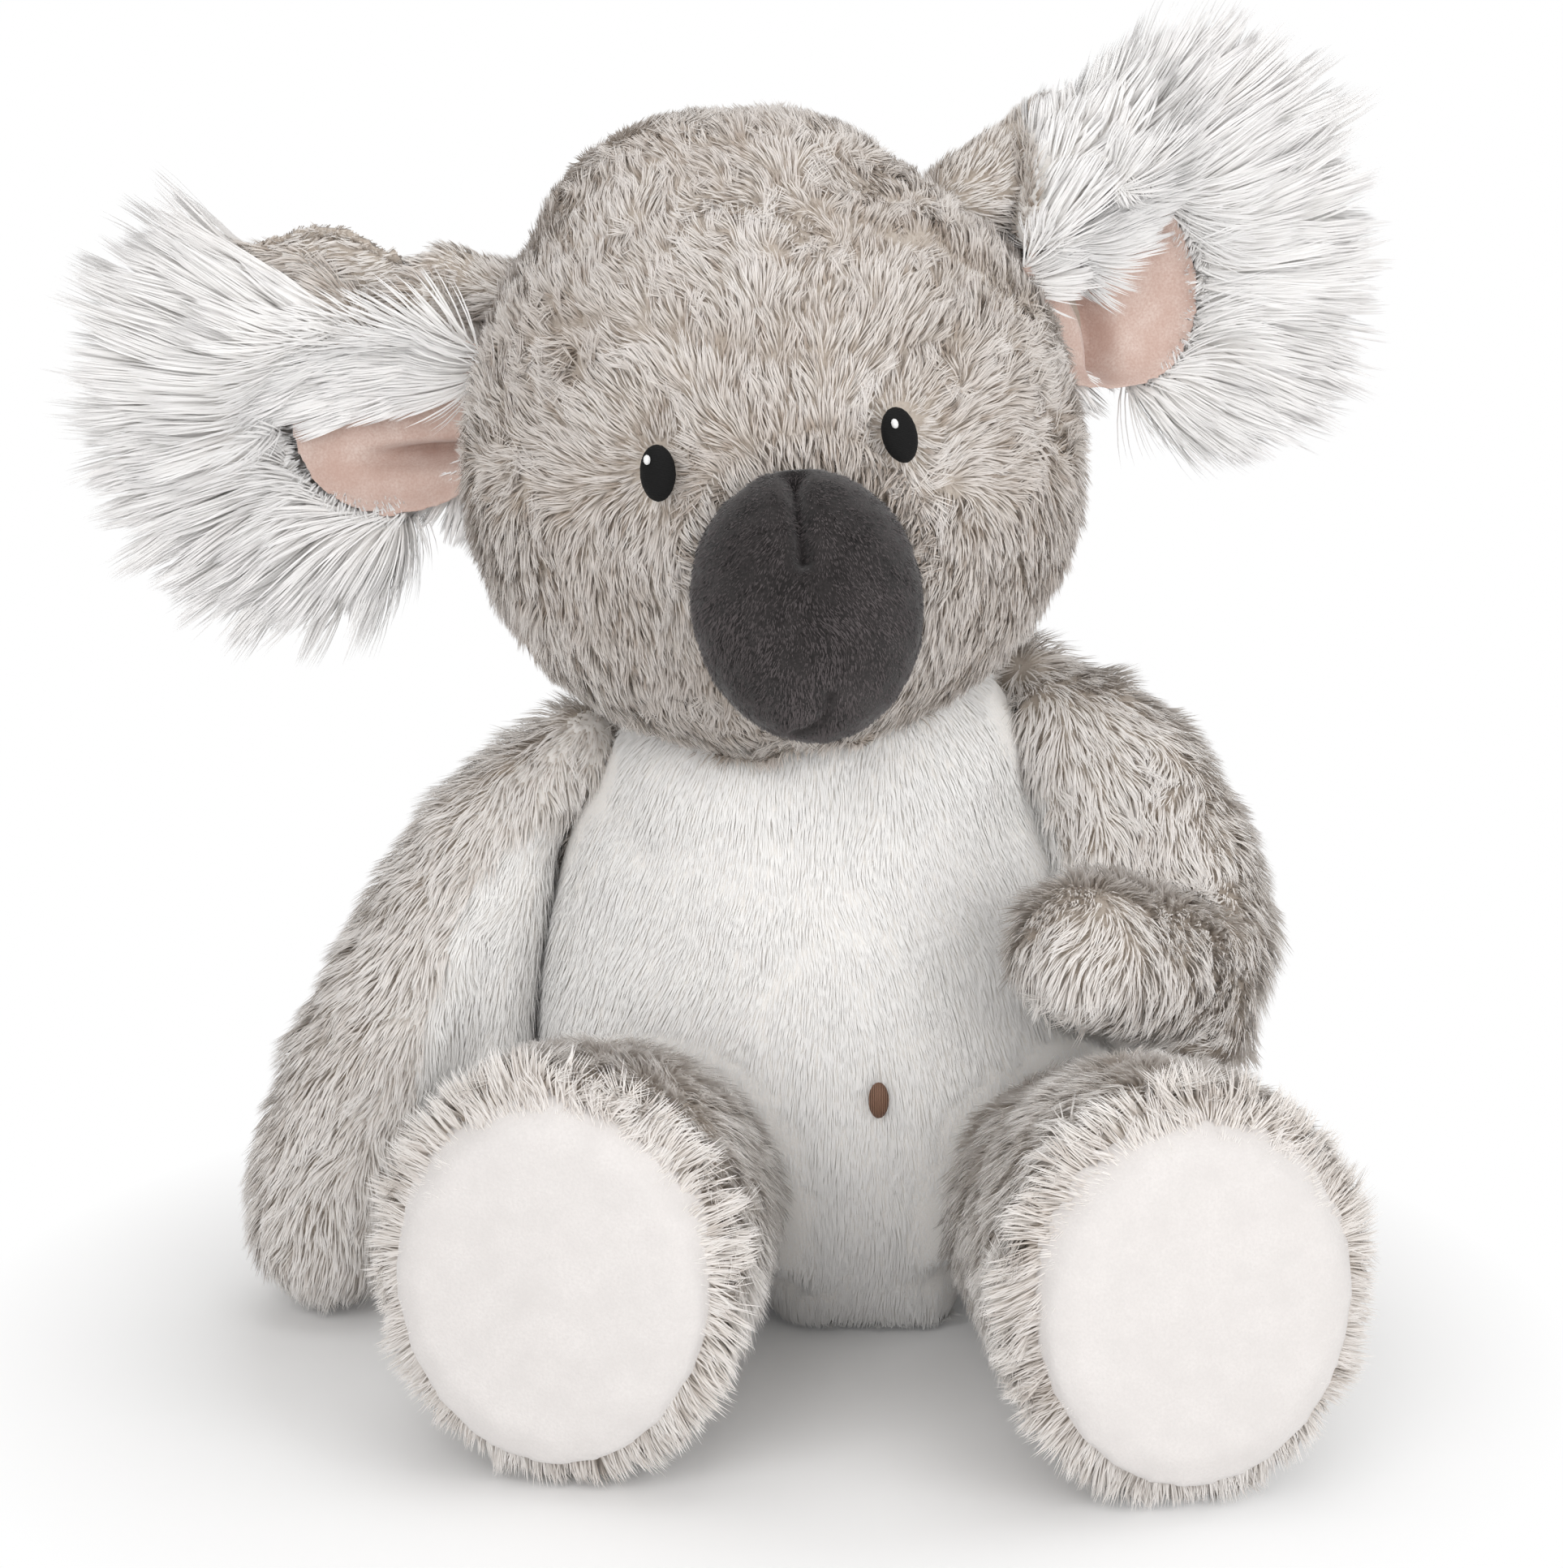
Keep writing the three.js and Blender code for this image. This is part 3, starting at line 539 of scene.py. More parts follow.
# The same grey plush gets its own base tone on each part, to make up for light: painted light on the limbs,
# which get less light, and painted shade on the head, which gets more; the back lies between.
GREY_TONES = {"patch": 0.4, "fleck": 0.55, "base": 0.54}
PAINTED_LIGHT_LIMB_TONES = {"patch": 0.3, "fleck": 0.25, "base": 1.05}
BACK_TONES = {"patch": 0.35, "fleck": 0.45, "base": 0.78}
WHITE_TONES = {"patch": 0.15, "fleck": 0.12, "base": 0.82}
LONG_TONES = {"patch": 0.12, "fleck": 0.12, "base": 0.97}
NOSE_TONES = {"patch": 0.35, "fleck": 0.6, "base": 0.55}


def coat(name, body, skin, node, material, seed, comb, per_mm2, length_mm, lean=(28, 68),
         clump=(2.0, 0.8), tuft=(5.5, 0.35), tones=GREY_TONES, keep=None, cut=None, shade=None,
         least=0.5, width=0.5, joints=2, flat=True, wild=0.2, ruffle=22, turn=2.0, facing=None, front=None):
    """The pile of one sewn piece: its roots, comb, length and tone, grown on the stuffed form."""
    places, normals, room = skin.roots(node, per_mm2, seed, keep)
    if facing is not None:
        kept = facing(places, normals)
        places, normals, room = places[kept], normals[kept], room[kept]
    tone = mottle(places, seed, clump[0], **tones)
    if shade is not None:
        tone = shade(places, tone)
    vary = 1 + 0.18 * noise(places, PATCH, seed + 1) + 0.12 * noise(places, 2.5 * MM, seed + 2)
    length = length_mm * MM * vary * (0.72 + 0.4 * np.clip(tone, 0, 0.7))
    length *= np.clip(room / ROOM_FREE, least, 1)
    if cut is not None:
        length *= cut(places)
    way = comb(places, normals)
    points = grow(places, normals, way, length, lean, clump, tuft, joints, seed, wild, flat, ruffle)
    strands(name, body, points, normals, width * MM, tone, material, [node], seed + 4, turn, front)


def middle_of(name):
    low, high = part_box(name)
    return np.array((low + high) / 2)


def smooth(values, start, end):
    t = np.clip((values - start) / (end - start), 0, 1)
    return t * t * (3 - 2 * t)


def bell(values, width):
    """1 at zero, falling off to both sides within about that width."""
    return np.exp(-((values / width) ** 2))


def line_gap(places, line):
    """The distance from each place to a line of points given in mm, and whether it is above it."""
    gap = np.full(len(places), 9.0)
    above = np.zeros(len(places))
    for start, end in zip(line, line[1:]):
        a, b = np.array(start) * MM, np.array(end) * MM
        t = np.clip(((places - a) @ (b - a)) / ((b - a) @ (b - a)), 0, 1)[:, None]
        off = places - (a + t * (b - a))
        far = np.linalg.norm(off, axis=1)
        nearer = far < gap
        gap[nearer] = far[nearer]
        above[nearer] = off[nearer, 2]
    return gap, above


def on_ball(places):
    """Places pushed out from the head's middle to one ball, so that depth in the pile doesn't count."""
    return HEAD + unit(places - HEAD) * HEAD_BALL * MM


def crease(obj, lines, depth_mm, width_mm):
    """Draws the surface in along sewn lines."""
    points, _ = corners_of(obj)
    normals = normals_of(obj)
    for line in lines:
        gap, _ = line_gap(on_ball(points) if obj.name.startswith("head") else points, line)
        points = points - normals * (depth_mm * MM * bell(gap, width_mm * MM))[:, None]
    set_points(obj, points)


SIDES = (("left", -1), ("right", 1))
HEAD, NOSE = middle_of("head"), middle_of("nose")
HEAD_BALL = 80  # mm
BROW_HEIGHT, CROWN_HEIGHT = 0.275, 0.30  # where the pile starts and ends getting shorter
# Painted shade under the chin: the pile darkens from the jaw height down to the chin height
JAW_HEIGHT, CHIN_HEIGHT = 0.215, 0.165  # where it starts and ends getting darker
EYES = {side: middle_of(f"eye_{side}") for side, _ in SIDES}
EYE_SIZE = np.array((4.4, 25.0, 7.1)) * MM
NOSE_LOW, NOSE_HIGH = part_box("nose")
NOSE_HALF = np.array(((NOSE_HIGH[0] - NOSE_LOW[0]) / 2, 1.0, (NOSE_HIGH[2] - NOSE_LOW[2]) / 2))
BROW = ((-86, -59, 278.6), (-76, -68, 280.4), (-63, -78, 281.8), (-46, -86, 278.7), (-37, -89, 275.8),
        (-27, -90, 273), (-6, -89, 272.7), (11, -83, 272.9), (26, -71, 274.7))
TEMPLE = ((6, -60, 302.8), (18, -51, 301.2), (36, -45, 288.3), (48, -34, 275.8))
DART = ((-19.4, -104, 249), (-19, -109.4, 246.8), (-18, -116.8, 240.3), (-17, -122.1, 231.4))
BROW, TEMPLE = (on_ball(np.array(line) * MM) / MM for line in (BROW, TEMPLE))
CORNER_SEAM = ((-10.2, -122.7, 197.5), (-10.9, -120, 191.6), (-13.9, -117.9, 187.9), (-18, -114.6, 185.3))


def eye_distance(places):
    """How far out of the nearer eye's oval each place is, 1 at its edge, and the way out of it."""
    best, way = np.full(len(places), 99.0), np.zeros_like(places)
    for side, _ in SIDES:
        off = places - EYES[side]
        off[:, 1] = np.where(np.abs(off[:, 1]) > EYE_SIZE[1], 99, 0)
        far = np.linalg.norm(off / EYE_SIZE, axis=1)
        nearer = far < best
        best[nearer] = far[nearer]
        way[nearer] = off[nearer] * (1, 0, 1)
    return best, way


def nose_distance(places):
    off = (places - NOSE) / NOSE_HALF
    off[:, 1] = np.where(places[:, 1] > HEAD[1], 99, 0)
    return np.linalg.norm(off, axis=1)


# Head: the pile fans out from the bridge over the brow, and falls to the chin over the cheeks
def head_comb(places, normals):
    off = (places - NOSE) / MM
    fan = unit(off * (1, 0, 1) - (0, 0, 4))
    inward = -0.35 * np.clip(off[:, 0] / 30, -1, 1)
    fall = np.stack([inward, np.full(len(off), -0.2), np.full(len(off), -1.0)], axis=1)
    rise = smooth(off[:, 2], 6, 40)[:, None]
    crown = smooth(off[:, 2], 62, 84)[:, None]
    comb = fan * rise + fall * (1 - rise)
    comb = comb + (0.45 + 0.5 * crown) * noise3(places, 18 * MM, 31)
    comb = comb + (0.6 + 0.6 * crown) * noise3(places, 5 * MM, 41)
    far, way = eye_distance(places)
    near = smooth(far, 2.4, 1.2)[:, None]
    comb = comb * (1 - near) + unit(way) * near
    return comb


def off_trim(places):
    return (eye_distance(places)[0] > 0.7) & (nose_distance(places) > 0.84)


def head_cut(places):
    near_eye = smooth(eye_distance(places)[0], 0.9, 2.2)
    near_nose = smooth(nose_distance(places), 0.85, 1.25)
    gap, above = line_gap(on_ball(places), BROW)
    seam = np.where(above > 0, smooth(gap, 0, 6 * MM), 1)
    gap, above = line_gap(on_ball(places), TEMPLE)
    seam *= np.where(above > 0, smooth(gap, 0, 6 * MM), 1)
    crown = smooth(places[:, 2], BROW_HEIGHT, CROWN_HEIGHT)
    return (0.6 + 0.4 * near_eye) * (0.65 + 0.35 * near_nose) * (0.5 + 0.5 * seam) * (1 - 0.25 * crown)


def head_shade(places, tone):
    # Painted shade in the parting: the pile is darker along the brow and temple seams and just above them
    for line in (BROW, TEMPLE):
        gap, above = line_gap(on_ball(places), line)
        tone = tone - 0.4 * bell(gap, 4 * MM) * (above > -1 * MM)
    # Painted shade: darker under the chin; the pile is also darker round the nose
    painted_chin_shade = smooth(places[:, 2], JAW_HEIGHT, CHIN_HEIGHT)
    return tone - 0.12 * painted_chin_shade - 0.18 * smooth(nose_distance(places), 1.35, 0.95)


BODY_NODES = ["torso", "belly_panel"]
LIMB_NODES = [f"{part}_{side}" for side, _ in SIDES for part in ("arm", "arm_inner_panel", "leg", "sole")]

head = stuffed("head_stuffed", ["head", "head_filling"], "head", 5 * MM,
               extra=(((-44, -14, 280), (-26, -14, 281), 50),))
crease(head, (BROW, TEMPLE), 1.6, 4.5)
head.data.materials.append(GREY_BACKING)
coat("head_fur", "head", Skin(head, ["head"], BODY_NODES), "head", GREY_PILE, 101, head_comb,
     per_mm2=2.0, length_mm=8.5, keep=off_trim, cut=head_cut, shade=head_shade)


# Pile round the top of the nose that falls over its edge, across the parting
def at_bridge(places):
    far = nose_distance(places)
    return (far > 0.95) & (far < 1.22) & (places[:, 2] > NOSE[2] + 2 * MM) & (eye_distance(places)[0] > 1.25)


def bridge_comb(places, normals):
    down = unit((NOSE - places) * (1, 0, 1)) + np.array((0, -0.75, 0))
    return down + 0.45 * noise3(places, 5 * MM, 163) + 0.25 * noise3(places, 14 * MM, 167)


coat("bridge_fur", "head", Skin(head, ["head"]), "head", GREY_PILE, 161, bridge_comb,
     per_mm2=1.7, length_mm=10, lean=(8, 72), keep=at_bridge, shade=head_shade, flat=False)

neck = stuffed("neck_stuffed", ["neck"], "neck", BODY_DEPTH, voxel=3 * MM, swell=1 * MM)
neck.data.materials.append(WHITE_BACKING)

# Torso: a grey back, and a white front that goes up behind the chin
TORSO_EXTRA = (
    ((-34, -7, 138), (8, -7, 145), 42), ((-28, 13, 146), (0, 13, 148), 22), ((-15, -41, 9), (15, -41, 9), 18))
torso = stuffed("torso_stuffed", BODY_NODES + ["torso_filling"], "torso", BODY_DEPTH, extra=TORSO_EXTRA)
torso_skin = Skin(torso, BODY_NODES, LIMB_NODES)
lay_cloth(torso, torso_skin, GREY_BACKING, "belly_panel", WHITE_BACKING)
TORSO, BUTTON = middle_of("torso"), middle_of("belly_button")


def body_comb(places, normals):
    comb = -UP + 4 * (places - TORSO) * (1, 0, 0)
    return comb + 0.3 * noise3(places, 24 * MM, 201) + 0.15 * noise3(places, 8 * MM, 207)


def clear_of_button(places):
    return np.linalg.norm((places - BUTTON) / (np.array((1.6, 20, 3.0)) * MM), axis=1) > 1


coat("back_fur", "torso", torso_skin, "torso", GREY_PILE, 211, body_comb,
     per_mm2=1.3, length_mm=9, tones=BACK_TONES)
coat("belly_fur", "torso", torso_skin, "belly_panel", WHITE_PILE, 231, body_comb,
     per_mm2=1.7, length_mm=6.5, lean=(60, 80), clump=(1.3, 0.2), tuft=(4.0, 0.0), tones=WHITE_TONES,
     keep=clear_of_button, width=0.55, wild=0.1, ruffle=3, turn=0.5)

# Legs: boots, with a fringe round the sole
for side, sign in SIDES:
    body = f"leg_{side}"
    nodes = [body, f"sole_{side}"]
    leg = stuffed(f"leg_stuffed_{side}", nodes + [f"leg_filling_{side}"], body, BODY_DEPTH)
    leg.data.materials.append(GREY_BACKING)
    sole_middle = middle_of(f"sole_{side}")
    hip = np.array(JOINTS[f"leg_{side}_splay"]["pos_m"])
    ahead = unit((sole_middle - hip) * (1, 1, 0))

    def past_hip(places):
        return (places - hip) @ ahead

    def past_sole(places):
        return (places - sole_middle) @ ahead

    # The foot's front stays well behind the face of the sole
    points, _ = corners_of(leg)
    points -= ahead * (3 * MM * smooth(past_sole(points), -16 * MM, -4 * MM))[:, None]
    set_points(leg, points)
    skin = Skin(leg, nodes, BODY_NODES + [f"arm_{side}", f"arm_inner_panel_{side}"])
    seed = 301 + 20 * (sign + 1)

    def leg_comb(places, normals):
        on_foot = smooth(past_hip(places), 0.09, 0.14)[:, None]
        out = unit((places - sole_middle) - ahead * past_sole(places)[:, None])
        rim = smooth(past_sole(places), -0.014, -0.003)[:, None]
        comb = ahead * (0.5 - 0.3 * on_foot - 0.8 * rim) - UP * (0.8 - 0.6 * on_foot) + out * on_foot
        comb = comb + 0.5 * rim * noise3(places, 3 * MM, seed + 9)
        return comb + 0.6 * noise3(places, 18 * MM, seed + 5) + 0.6 * noise3(places, 5 * MM, seed + 8)

    def leg_cut(places):
        """Longer on the foot, so that it stands out round the sole."""
        return 1 + 0.3 * smooth(past_hip(places), 0.08, 0.13)

    def leg_shade(places, tone):
        fringe = smooth(past_sole(places), -0.02, -0.008)
        return tone + 0.35 * smooth(past_hip(places), 0.05, 0.11) - 0.6 * fringe

    coat(f"leg_fur_{side}", body, skin, nodes[0], GREY_PILE, seed, leg_comb,
         LIMB_DENSITY, length_mm=8.5, tones=PAINTED_LIGHT_LIMB_TONES, cut=leg_cut, shade=leg_shade, turn=1.1)

# Arms: grey outside, white inside, full at the shoulder and along the side of the body
ARM_EXTRA = {
    "left": (((-77, 2, 150), (-79, 1, 146), 17), ((-90, -5, 135), (-101, -14, 62), 16)),
    "right": (((43, 8, 164), (46, 6, 160), 17), ((50, -8, 158), (62, -28, 120), 16),
              ((74, -48, 84), (90, -50, 86), 16)),
}
PANEL_EDGE = (69, 86, 103, 122, 134), (-120, -117, -111, -103, -90)  # heights, and x of the edge there
for side, sign in SIDES:
    body = f"arm_{side}"
    nodes = [body, f"arm_inner_panel_{side}"]
    arm = stuffed(f"arm_stuffed_{side}", nodes + [f"arm_filling_{side}"], body, BODY_DEPTH,
                  voxel=3.5 * MM, extra=ARM_EXTRA[side])
    skin = Skin(arm, nodes, [f"leg_{side}", f"sole_{side}"])
    lay_cloth(arm, skin, GREY_BACKING, nodes[1], WHITE_BACKING)
    shoulder = np.array(JOINTS[f"arm_{side}_raise"]["pos_m"])
    low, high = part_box(body)
    if side == "left":
        paw = np.array((low[0] + 0.03, low[1] + 0.02, 0.0))
    else:
        paw = np.array((low[0] - 0.01, low[1], high[2] - 0.07))
    seed = 401 + 20 * (sign + 1)

    def arm_comb(places, normals):
        comb = unit(places - shoulder) + unit(paw - places) - 0.25 * UP
        return comb + 0.9 * noise3(places, 16 * MM, seed + 5) + 0.75 * noise3(places, 5 * MM, seed + 8)

    def white_part(places):
        """The left panel's grey neighbour comes round over the shoulder, so less of it is white."""
        if side == "right":
            return np.ones(len(places), bool)
        edge = np.interp(places[:, 2], *(np.array(row) * MM for row in PANEL_EDGE))
        return (places[:, 0] > edge) & (places[:, 2] < PANEL_EDGE[0][-1] * MM)

    coat(f"arm_fur_{side}", body, skin, nodes[0], GREY_PILE, seed, arm_comb,
         LIMB_DENSITY, length_mm=10, tones=PAINTED_LIGHT_LIMB_TONES, turn=1.1)
    coat(f"arm_inner_fur_{side}", body, skin, nodes[1], WHITE_PILE, seed + 10, arm_comb,
         LIMB_DENSITY, length_mm=8, lean=(55, 80), clump=(1.3, 0.5), tuft=(4.0, 0.2), tones=WHITE_TONES,
         ruffle=6, turn=0.6, keep=white_part)
    if side == "left":
        coat("arm_edge_fur_left", body, skin, nodes[1], GREY_PILE, seed + 15, arm_comb,
             LIMB_DENSITY, length_mm=9, tones=PAINTED_LIGHT_LIMB_TONES, turn=1.1, keep=lambda p: ~white_part(p))

# Soles: short pile, drawn in by the gathers of their seam
for side, _ in SIDES:
    sole = copy_of([f"sole_{side}"], f"sole_pad_{side}")
    modify(sole, "REMESH", mode="VOXEL", voxel_size=1.8 * MM, use_smooth_shade=True)
    modify(sole, "SMOOTH", factor=0.5, iterations=8)
    # Its rear goes on into the foot, under the fringe
    sole_middle = middle_of(f"sole_{side}")
    ahead = unit((sole_middle - np.array(JOINTS[f"leg_{side}_splay"]["pos_m"])) * (1, 1, 0))
    points, _ = corners_of(sole)
    forward = (points - sole_middle) @ ahead
    rear, face = forward.min(), forward.max()
    points -= ahead * (7 * MM * smooth(forward, 0.5 * (rear + face), rear))[:, None]
    set_points(sole, points)
    bpy.ops.object.shade_smooth()
    sole.data.materials.append(SOLE_VELOUR)
    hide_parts(f"sole_{side}")
    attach(sole, f"leg_{side}")

# Nose: a stuffed egg of short pile with a dart at its top and a seam corner below
nose = copy_of(["nose"], "nose_stuffed")
modify(nose, "REMESH", mode="VOXEL", voxel_size=1.1 * MM, use_smooth_shade=True)
modify(nose, "SMOOTH", factor=0.5, iterations=12)
# Its back goes on through the pile, into the muzzle
points, _ = corners_of(nose)
points[:, 1] += 9 * MM * smooth(points[:, 1], NOSE_HIGH[1] - 12 * MM, NOSE_HIGH[1])
set_points(nose, points)
crease(nose, (DART,), 5.0, 2.2)
crease(nose, (CORNER_SEAM,), 1.8, 1.3)
bpy.ops.object.shade_smooth()
nose.data.materials.append(NOSE_VELOUR)
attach(nose, "head")


def nose_comb(places, normals):
    return (places - NOSE) * (20, 0, 0) - UP + 0.5 * noise3(places, 9 * MM, 601)


def nose_crease_shade(places, tone):
    seam = np.minimum(line_gap(places, DART)[0], line_gap(places, CORNER_SEAM)[0] * 1.6)
    # Painted shade in the creases: the fuzz is darker along the dart and the corner seam
    return tone - 0.9 * bell(seam, 2.2 * MM)


def off_dart(places):
    return (line_gap(places, DART)[0] > 0.9 * MM) & (line_gap(places, CORNER_SEAM)[0] > 0.6 * MM)


coat("nose_fuzz", "head", Skin(nose, ["nose"]), "nose", NOSE_PILE, 611, nose_comb,
     per_mm2=4.0, length_mm=2.2, lean=(15, 60), clump=(0.8, 0.3), tuft=(3.0, 0.0), tones=NOSE_TONES,
     keep=off_dart, shade=nose_crease_shade, width=0.35)

# Ears: a plush back that runs on into the head, long fur in front that sweeps out from the seam, and a
# cupped lining
EAR_EXTRA = {
    "left": (((-110, -8, 281), (-92, -6, 274), 11), ((-104, -9, 250), (-118, -7, 246), 10)),
    "right": (((50, 2, 316), (26, 0, 300), 14), ((50, 2, 300), (44, 0, 280), 10),
              ((42, -2, 270), (55, 6, 272), 10)),
}
PAD_MIDDLE, PAD_HALF = (47, 2, -2), np.array((38, 5, 49))
LINING_EDGE = 24.8  # mm from the lining's middle to its seam
PAD_EXTRA = {
    "left": (((-116, -12, 275), (-104, -8, 262), 7), ((-116, -14, 236), (-102, -10, 222), 7)),
    "right": (((50, -4, 313), (49, -6, 294), 11), ((60, 2, 316), (60, 0, 300), 11),
              ((54, -2, 258), (44, 2, 246), 7)),
}
for side, sign in SIDES:
    body = f"ear_{side}"
    fur_node = f"ear_fur_{side}"
    joint = JOINTS[f"ear_{side}_flap"]
    pivot = np.array(joint["pos_m"])
    rise = unit(np.array(joint["axis"]))
    rise = rise * np.sign(rise[2])
    reach = middle_of(fur_node) - pivot
    out = unit(reach - rise * (reach @ rise))
    back = np.cross(out, rise) * -sign
    ear_front = 0.5 * rise - back
    seed = 501 + 20 * (sign + 1)
    cup = middle_of(f"ear_lining_{side}")

    def spots(places):
        """How far a place is from the lining's middle in mm: away from the head, up and backwards."""
        off = (places - cup) / MM
        return off @ out, off @ rise, off @ back

    def from_middle(along, up):
        """How far out a place is on the whole ear's oval, 1 at its rim."""
        return np.hypot((along - 31) / 49, (up - 3) / 59)

    def from_cup(along, up):
        """How far out a place is, in mm as on a round lining: the right one is narrower and taller."""
        if side == "right":
            along, up = np.where(along > 0, along / 0.82, along), np.where(up > 0, up / 1.15, up)
        return np.hypot(along, up)

    def make_room(obj, floor_mm, reach_mm, rim_mm=0.0):
        """Sinks a form behind the lining, to that depth, and lifts its front to a rim round the lining."""
        points, _ = corners_of(obj)
        along, up, deep = spots(points)
        far = from_cup(along, up)
        sunk = 0.93 * smooth(far, reach_mm, reach_mm - 3) * np.maximum(floor_mm - deep, 0)
        rim = smooth(far, reach_mm - 3, reach_mm - 1) * smooth(far, reach_mm + 17, reach_mm + 1)
        rim = rim * smooth(deep, 9, 7) * np.where(along < -8, 0, 1)
        set_points(obj, points + back * ((sunk - rim_mm * rim) * MM)[:, None])

    def fill_behind(obj, rear_mm, reach_mm):
        """Fills a form out behind the lining, so that its back lies at least that deep."""
        points, _ = corners_of(obj)
        along, up, deep = spots(points)
        behind = smooth(normals_of(obj) @ back, -0.1, 0.3) * smooth(deep, 4, 12)
        near = smooth(from_cup(along, up), reach_mm + 12, reach_mm)
        set_points(obj, points + back * (near * behind * np.maximum(rear_mm - deep, 0) * MM)[:, None])

    ear = stuffed(f"ear_back_stuffed_{side}", [f"ear_back_{side}"], body, 2.5 * MM, voxel=2.5 * MM,
                  swell=0.5 * MM, extra=EAR_EXTRA[side])
    ear.data.materials.append(GREY_BACKING)
    fill_behind(ear, rear_mm=25, reach_mm=27)
    make_room(ear, floor_mm=17, reach_mm=29)

    def back_comb(places, normals):
        return out + 6 * (places - pivot) + 0.4 * noise3(places, 12 * MM, seed + 5)

    def outside_back(places, normals):
        along, up, _ = spots(places)
        if side == "left":
            return (normals @ (back + 0.2 * rise) > 0) | (up > 30 + 0.83 * along)
        return (normals @ (back + 0.1 * rise) > 0) | (along < -26)

    def back_cut(places):
        return 1 - 0.4 * smooth(spots(places)[1], 22, 32)

    coat(f"ear_back_fur_{side}", body, Skin(ear, [f"ear_back_{side}"]), f"ear_back_{side}", GREY_PILE,
         seed, back_comb, per_mm2=1.6, length_mm=9, tones=BACK_TONES, cut=back_cut,
         facing=outside_back)

    lining = copy_of([f"ear_lining_{side}"], f"ear_lining_cup_{side}")
    modify(lining, "REMESH", mode="VOXEL", voxel_size=1.1 * MM, use_smooth_shade=True)
    modify(lining, "SMOOTH", factor=0.5, iterations=5)
    points, _ = corners_of(lining)
    along, up, _ = spots(points)
    if side == "left":
        fold = bell(up + 11 - 0.22 * along, 2.4) * smooth(along, 8, -7)
    else:
        fold = bell(along + 5.7 + 0.018 * (up + 9) ** 2, 2.5) * smooth(up, 20, 10)
    inside = smooth(np.hypot(along, up), 25, 20)
    points += back * ((11 * fold + 1.5 * smooth(along, 14, -14)) * inside * MM)[:, None]
    points += out * (0.45 * np.minimum(along, 0) * MM)[:, None]
    if side == "right":
        points += (out * (-0.18 * np.maximum(along, 0) * MM)[:, None]
                   + rise * (0.15 * np.maximum(up, 0) * MM)[:, None])
    set_points(lining, points)
    bpy.ops.object.shade_smooth()
    lining.data.materials.append(EAR_VELOUR)
    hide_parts(f"ear_lining_{side}")
    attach(lining, body)

    # The long fur's own backing: a thin pad, sunk behind the lining
    balls = [ball for ends in PAD_EXTRA[side] for ball in bulge(*ends)]
    bpy.ops.mesh.primitive_uv_sphere_add(segments=64, ring_count=32, radius=1)
    pad = bpy.context.object
    pad.name = f"ear_pad_{side}"
    points, _ = corners_of(pad)
    points *= PAD_HALF * MM
    points = pivot + points[:, :1] * out + points[:, 1:2] * back + points[:, 2:] * rise
    points += (out * PAD_MIDDLE[0] + back * PAD_MIDDLE[1] + rise * PAD_MIDDLE[2]) * MM
    set_points(pad, points)
    join_all(pad, balls)
    modify(pad, "REMESH", mode="VOXEL", voxel_size=2.5 * MM, use_smooth_shade=True)
    modify(pad, "SMOOTH", factor=0.5, iterations=8)
    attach(pad, body)
    make_room(pad, floor_mm=19, reach_mm=26, rim_mm=6.5)
    bpy.ops.object.shade_smooth()
    pad.data.materials.append(WHITE_BACKING)

    def long_comb(places, normals):
        along, up, _ = spots(places)
        spread = (along + 38)[:, None] * out + (up - (2 if side == "left" else 6))[:, None] * rise
        high = (smooth(up, 0, 30) * smooth(along, -10, 20))[:, None]
        comb = unit(spread) + (0.3 if side == "left" else 0.1) * high * rise
        return comb + 0.2 * noise3(places, 13 * MM, seed + 11) + 0.1 * noise3(places, 5 * MM, seed + 14)

    def long_cut(places):
        along, up, _ = spots(places)
        _, own = tufts(places, 7 * MM, seed + 15)
        short = 0.45 * smooth(up, 20, 45) * smooth(along, 15, -8) if side == "right" else 0
        return np.clip(1.25 - 0.5 * from_middle(along, up), 0.6, 1) * (0.65 + 0.6 * own) * (1 - short)

    def long_painted_tip_shade(places, tone):
        along, up, _ = spots(places)
        # Painted shade among the tips: greyer tips round the upper rim, more on the left ear
        tips = smooth(up, -25, 40) * smooth(along, 0, 40) * smooth(from_middle(along, up), 0.6, 0.95)
        return tone - (0.65 if side == "left" else 0.4) * tips

    def plush_edge(places):
        """The part above the lining and next to the head, where the back's plush comes round."""
        along, up, _ = spots(places)
        return (up > 30 + 0.83 * along) & (along < 24) if side == "left" else along < 0.19 * up - 31

    def long_part(places):
        along, up, _ = spots(places)
        by_head = (np.abs(up) < 16) & (along < -12)
        return (from_cup(along, up) > LINING_EDGE) & ~by_head & ~plush_edge(places)

    def lock_part(places):
        along, up, _ = spots(places)
        if side == "left":
            return up > np.where(along < 0, 2, 2 + 0.5 * along + 0.02 * along ** 2)
        return up > 9 + np.where(along < 0, 0.18, 1.5) * along

    def clear_of_back(places, normals):
        """Not where the plush back lies over the pad."""
        along, up, _ = spots(places)
        return (normals @ back < 0.25) | (np.hypot((along - 8) / 25, (up - 14) / 30) > 1)

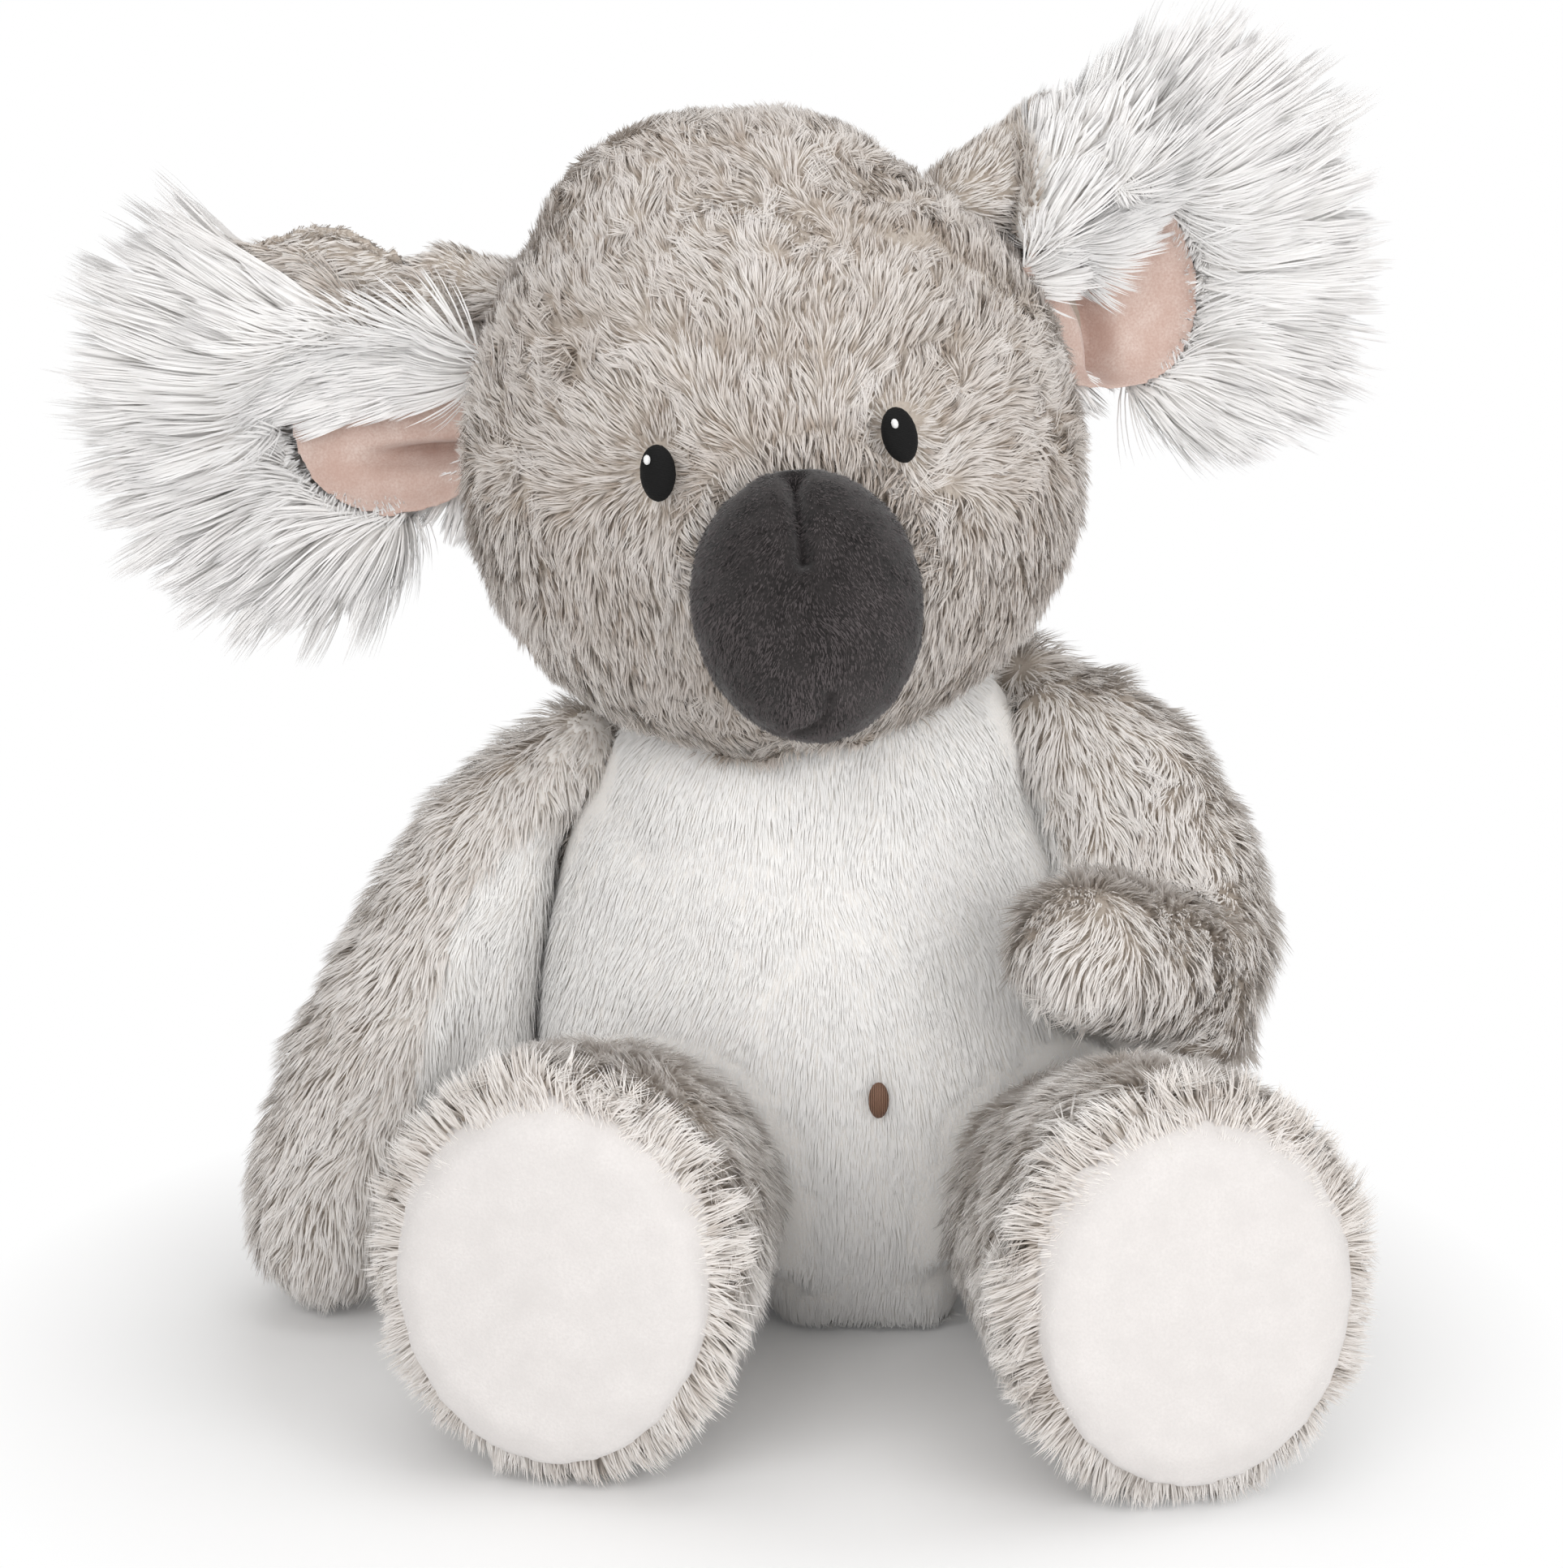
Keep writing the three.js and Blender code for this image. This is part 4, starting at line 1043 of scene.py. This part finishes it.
    pad_skin = Skin(pad, [fur_node], ["head"])
    coat(f"ear_edge_fur_{side}", body, pad_skin, fur_node, GREY_PILE, seed + 5, back_comb,
         per_mm2=1.6, length_mm=10, keep=plush_edge)
    coat(f"ear_long_fur_{side}", body, pad_skin, fur_node, LONG_PILE, seed + 10, long_comb,
         per_mm2=1.2, length_mm=27, lean=(52, 84), clump=(2.5, 0.4), tuft=(9.0, 0.65), tones=LONG_TONES,
         keep=long_part, cut=long_cut, shade=long_painted_tip_shade, least=0.6, width=0.6, joints=4, flat=False,
         wild=0.05, ruffle=7, turn=0.5, facing=clear_of_back, front=ear_front)

    # Short white pile along the lining's seam, that falls over its edge
    def seam_part(places):
        along, up, _ = spots(places)
        far = from_cup(along, up)
        return (far > LINING_EDGE) & (far < 30) & (along > -10) & ~plush_edge(places)

    def seam_comb(places, normals):
        along, up, _ = spots(places)
        inward = -unit(along[:, None] * out + up[:, None] * rise)
        return inward - 0.6 * back + 0.3 * noise3(places, 5 * MM, seed + 17)

    coat(f"ear_seam_fur_{side}", body, pad_skin, fur_node, LONG_PILE, seed + 17, seam_comb,
         per_mm2=1.8, length_mm=6, lean=(30, 72), clump=(2.0, 0.5), tuft=(5.0, 0.3), tones=LONG_TONES,
         keep=seam_part, facing=lambda p, n: n @ back < -0.1, least=0.7, width=0.6, flat=False, wild=0.08,
         ruffle=8, turn=0.6, front=ear_front)
    coat(f"ear_lock_{side}", body, Skin(lining, [f"ear_lining_{side}"]), f"ear_lining_{side}", LONG_PILE,
         seed + 15, long_comb, per_mm2=2.2, length_mm=22 if side == "left" else 15,
         lean=(45, 82), clump=(2.5, 0.4), tuft=(7.0, 0.4), tones=LONG_TONES, keep=lock_part,
         facing=lambda p, n: n @ back < -0.3, width=0.6, joints=4, flat=False, wild=0.06, ruffle=8,
         turn=0.6, front=ear_front)

# Stitched trim: the CAD pieces stay, in thread
for name, material in (
    ("eye_left", EYE_THREAD), ("eye_right", EYE_THREAD), ("eye_glint_left", GLINT_THREAD),
    ("eye_glint_right", GLINT_THREAD), ("belly_button", BUTTON_THREAD),
):
    for slot in NODES[name].material_slots:
        slot.material = material


# Stage, light and camera
WHITE = (1.0, 1.0, 1.0, 1.0)


def stage_material():
    """Matt white paper: it reads as white to the camera, and keeps the object's shadow."""
    material, tree = new_material("white_paper_sweep")
    shader = add(tree, "ShaderNodeBsdfDiffuse", {"Color": (0.9, 0.9, 0.9, 1.0)}).outputs["BSDF"]
    white = add(tree, "ShaderNodeEmission", {"Color": WHITE, "Strength": 1.0})
    glow = add(tree, "ShaderNodeEmission", {"Color": WHITE, "Strength": 0.05})
    lit = add(tree, "ShaderNodeAddShader", {0: shader, 1: glow.outputs["Emission"]})
    place = add(tree, "ShaderNodeTexCoord").outputs["Object"]
    far = add(tree, "ShaderNodeVectorMath", {0: place}, operation="LENGTH").outputs["Value"]
    fade = add(tree, "ShaderNodeMapRange", {"Value": far, "From Min": 0.13, "From Max": 0.22})
    seen = add(tree, "ShaderNodeMixShader", {
        "Fac": fade.outputs["Result"], 1: lit.outputs["Shader"], 2: white.outputs["Emission"]})
    path = add(tree, "ShaderNodeLightPath")
    mix = add(tree, "ShaderNodeMixShader", {
        "Fac": path.outputs["Is Camera Ray"], 1: shader, 2: seen.outputs["Shader"]})
    add(tree, "ShaderNodeOutputMaterial", {"Surface": mix.outputs["Shader"]})
    return material


bpy.ops.mesh.primitive_plane_add(size=6, location=(-0.03, -0.06, -0.0003))
floor = bpy.context.object
floor.name = "floor"
floor.data.materials.append(stage_material())

world = bpy.data.worlds.new("studio")
bpy.context.scene.world = world
world.use_nodes = True
tree = world.node_tree
tree.nodes.clear()
path = add(tree, "ShaderNodeLightPath")
soft = add(tree, "ShaderNodeBackground", {"Color": (1.0, 0.985, 0.97, 1.0), "Strength": 0.5})
white = add(tree, "ShaderNodeBackground", {"Color": WHITE, "Strength": 1.0})
mix = add(tree, "ShaderNodeMixShader", {
    "Fac": path.outputs["Is Camera Ray"], 1: soft.outputs["Background"], 2: white.outputs["Background"]})
add(tree, "ShaderNodeOutputWorld", {"Surface": mix.outputs["Shader"]})


def area_light(name, place, target, size, power):
    data = bpy.data.lights.new(name, "AREA")
    data.shape = "DISK"
    data.size = size
    data.energy = power
    lamp = bpy.data.objects.new(name, data)
    lamp.location = place
    lamp.rotation_euler = (Vector(target) - Vector(place)).to_track_quat("-Z", "Y").to_euler()
    link(lamp)


area_light("key", (-0.7, -1.5, 1.0), (-0.02, 0, 0.13), 1.4, 12)
area_light("fill", (1.1, -1.35, 0.7), (-0.02, 0, 0.13), 1.4, 12.5)
area_light("top", (0.0, 0.1, 1.6), (-0.02, 0, 0.15), 1.2, 5)

# The camera that was fitted to the photograph
camera_data = bpy.data.cameras.new("camera")
camera_data.sensor_fit = "HORIZONTAL"
camera_data.sensor_width = 36
camera_data.lens = 127.4
camera_data.clip_end = 20
camera = bpy.data.objects.new("camera", camera_data)
camera.location = (-0.0224, -1.4419, 0.5527)
camera.rotation_euler = (math.radians(74), 0, 0)
link(camera)
bpy.context.scene.camera = camera
bpy.context.scene.view_settings.view_transform = "Standard"
